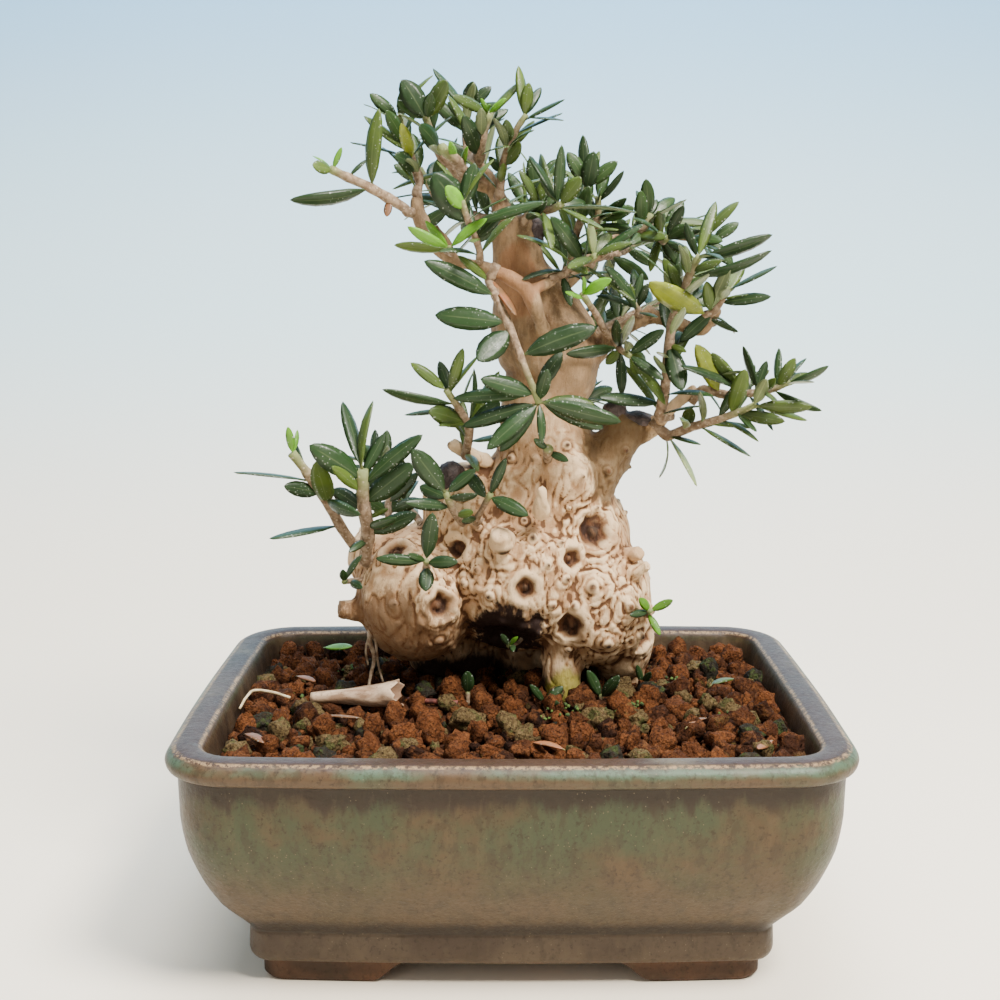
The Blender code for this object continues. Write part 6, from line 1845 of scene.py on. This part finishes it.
def make_fallen(draw):
    empty_twig = finished("no_twig", bmesh.new(), [twig_finish])
    leaves = []
    for root, tip, width, kind in FALLEN:
        face = Vector((draw.uniform(-0.4, 0.4), draw.uniform(-0.5, 0.2), 1.0)).normalized()
        leaves.append(Leaf(Vector(root), Vector(tip), face, width, draw.choice(LEAF_ARCHES), kind))
    fallen = leaf_points("fallen_leaves", leaves, [leaf.root for leaf in leaves], draw)
    grow_leaves(fallen, empty_twig)
    ride_along(fallen)


make_fallen(random.Random(9))
print("fallen leaves:", len(FALLEN))

# %% [markdown]
# ## Moss and stones
#
# Here and there a larger stone, grey green with algae, lies among the grains, and the first
# tufts of moss sit round the green root. The same scattering tree lays the moss, with crumbs
# and a green finish, on small patches of their own.

# %% Moss
moss_finish, net, shader, place = new_finish("young_moss")
cloud = net.noise(place, 700, 4)
colour = net.mix(net.band(cloud, 0.35, 0.65), (0.022, 0.045, 0.010), (0.110, 0.185, 0.030))
wire(net, shader, colour, 0.9, normal=net.bump(net.noise(place, 2600, 3, 0.7), 0.8, 0.0004))
MOSS_RISE = 0.9
MOSS_PATCHES = ((11, -8.5, 4.2), (16, -9, 3.0), (23, -7, 3.5), (28, -2, 3.0), (-37, 22, 3.5), (6, -12, 2.4),
                (36, 12, 3.0), (-46, 4, 2.6), (44, -10, 2.4), (-24, 32, 3.2))


def make_moss():
    shape = bmesh.new()
    for x, y, radius in MOSS_PATCHES:
        disc = bmesh.ops.create_circle(shape, segments=9, radius=radius * MM, cap_ends=True)["verts"]
        for corner in disc:
            spot = corner.co / MM
            corner.co = Vector((x + spot.x, y + spot.y, ground(x, y) + MOSS_RISE)) * MM
    moss = finished("moss", shape, [moss_finish])
    run_tree(moss, scatter, scatter_ids, spacing=0.75 * MM, least=0.7 * MM, greatest=1.3 * MM,
             seed=21, finish=moss_finish, pebbles=crumb_group)
    ride_along(moss)
    print("moss:", len(moss.data.polygons), "faces")


make_moss()

# %% Stones
STONE_FLATNESS, STONE_RISE = (1, 0.85, 0.72), 0.18
STONES = ((-50, -14, 5.8, 0.98), (-41, -7, 5.4, 0.88), (-36, 0, 4.6, 0.89), (-9, -14, 6.6, 0.87),
          (17, -14, 6.6, 0.90), (25, -12, 5.2, 0.90), (30, 4, 5.6, 0.99), (47, -20, 4.8, 0.99),
          (42, 22, 5.4, 0.90), (-45, 20, 4.6, 0.98), (-20, -28, 5.0, 0.88), (2, -30, 5.2, 0.30))


def make_stones(draw):
    shape = bmesh.new()
    mossy = shape.verts.layers.float.new("mossy")
    shade = shape.verts.layers.float.new("shade")
    for x, y, size, kind in STONES:
        made = bmesh.ops.create_icosphere(shape, subdivisions=3, radius=size / 2)["verts"]
        shift = Vector((x, y, size))
        for corner in made:
            way = corner.co.normalized()
            lumps = 1 + 0.5 * noise.noise(way * 1.4 + shift) + 0.25 * noise.noise(way * 4.0 + shift)
            place = Vector(a * b for a, b in zip(corner.co * lumps, STONE_FLATNESS))
            corner.co = (place + Vector((x, y, ground(x, y) + STONE_RISE * size))) * MM
            corner[mossy] = kind
            corner[shade] = draw.uniform(0.3, 0.6)
    return finished("stones", shape, [grain])


stones = make_stones(random.Random(6))
ride_along(stones)
print("stones:", len(stones.data.polygons), "faces")

# %% [markdown]
# ## Drainage screens
#
# A square of plastic net over each drainage hole keeps the soil in. It can't be seen from
# outside, but the holes show it from below. Thin bars cross each other, one row over the other.

# %% Drainage screens
SCREEN_SIZE, SCREEN_PITCH, SCREEN_BAR = 14.0, 1.75, 0.28
net_finish = dry_finish("black_net", (0.010, 0.010, 0.011), (0.020, 0.020, 0.021))


def make_screen(name, node):
    low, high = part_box(node)
    middle = (Vector(low) + Vector(high)) / 2 / MM
    shape = bmesh.new()
    half = SCREEN_SIZE / 2
    for step in range(int(SCREEN_SIZE / SCREEN_PITCH) + 1):
        across = -half + step * SCREEN_PITCH
        for rise, ends in ((-SCREEN_BAR / 2, ((across, -half), (across, half))),
                           (SCREEN_BAR / 2, ((-half, across), (half, across)))):
            line = [Vector((middle.x + x, middle.y + y, middle.z + rise, SCREEN_BAR)) for x, y in ends]
            tube(shape, line, 6)
    screen = finished(name, shape, [net_finish])
    take_place(screen, "netting", node)


make_screen("net_left", "drain_screen_left")
make_screen("net_right", "drain_screen_right")

# %% [markdown]
# ## Floor and light
#
# The picture was taken on a pale table before a pale sheet, under soft light from above and the
# front. The floor here curves up behind the tree into a plain backdrop, from cream to pale
# blue, so no horizon cuts the picture. A large soft light stands above to the right, a weaker
# one at the front left, and one washes the backdrop. None of these is part of the object.

# %% Floor and backdrop
floor_finish, net, shader, place = new_finish("pale_backdrop")
height = net.add("ShaderNodeSeparateXYZ", links={0: place}).outputs[2]
paper = net.mix(net.band(height, -0.02, 0.12), (0.970, 0.865, 0.710), (0.600, 0.800, 0.860))
paper = net.mix(net.band(height, 0.08, 0.34), paper, (0.240, 0.510, 0.800))
wire(net, shader, paper, 0.9, 0.1)


SWEEP_START, SWEEP_RADIUS, BACKDROP_TOP = 0.16, 0.5, 1.4


def make_backdrop():
    """A wide floor whose far side curves up, in one sheet."""
    section = [(-1.6, 0.0), (-0.6, 0.0), (SWEEP_START, 0.0)]
    for turn in [math.pi / 2 * step / 16 for step in range(1, 17)]:
        section.append((SWEEP_START + SWEEP_RADIUS * math.sin(turn), SWEEP_RADIUS * (1 - math.cos(turn))))
    section.append((SWEEP_START + SWEEP_RADIUS, BACKDROP_TOP))
    shape = bmesh.new()
    rows = [[shape.verts.new((x, y, z)) for x in (-1.8, -0.6, 0.6, 1.8)] for y, z in section]
    stitch(shape, rows, caps=(), closed=False)
    return finished("backdrop", shape, [floor_finish])


floor = make_backdrop()

# %% Lights
def soft_light(name, place, aim, size, power, colour=(1, 1, 1)):
    light = bpy.data.lights.new(name, "AREA")
    light.shape = "DISK"
    light.size = size
    light.energy = power
    light.color = colour
    lamp = bpy.data.objects.new(name, light)
    lamp.location = place
    lamp.rotation_euler = (Vector(aim) - Vector(place)).to_track_quat("-Z", "Y").to_euler()
    bpy.context.scene.collection.objects.link(lamp)
    return lamp


soft_light("top_panel", (0.28, -0.30, 0.62), (0, 0, 0.09), 0.24, 14.0, (1.0, 0.95, 0.87))
soft_light("front_panel", (-0.45, -0.62, 0.36), (0, 0, 0.08), 0.45, 0.8, (1.0, 0.95, 0.88))
soft_light("backdrop_wash", (0.0, 0.05, 0.95), (0, 0.62, 0.22), 0.6, 14.0)
world = bpy.data.worlds.new("pale_room")
world.use_nodes = True
world.node_tree.nodes["Background"].inputs["Color"].default_value = (1.0, 0.96, 0.90, 1.0)
world.node_tree.nodes["Background"].inputs["Strength"].default_value = 0.36
bpy.context.scene.world = world
print("lights:", [thing.name for thing in bpy.data.objects if thing.type == "LIGHT"])

# %% The end
for pattern in pebbles + crumbs + patterns:
    discard(pattern)
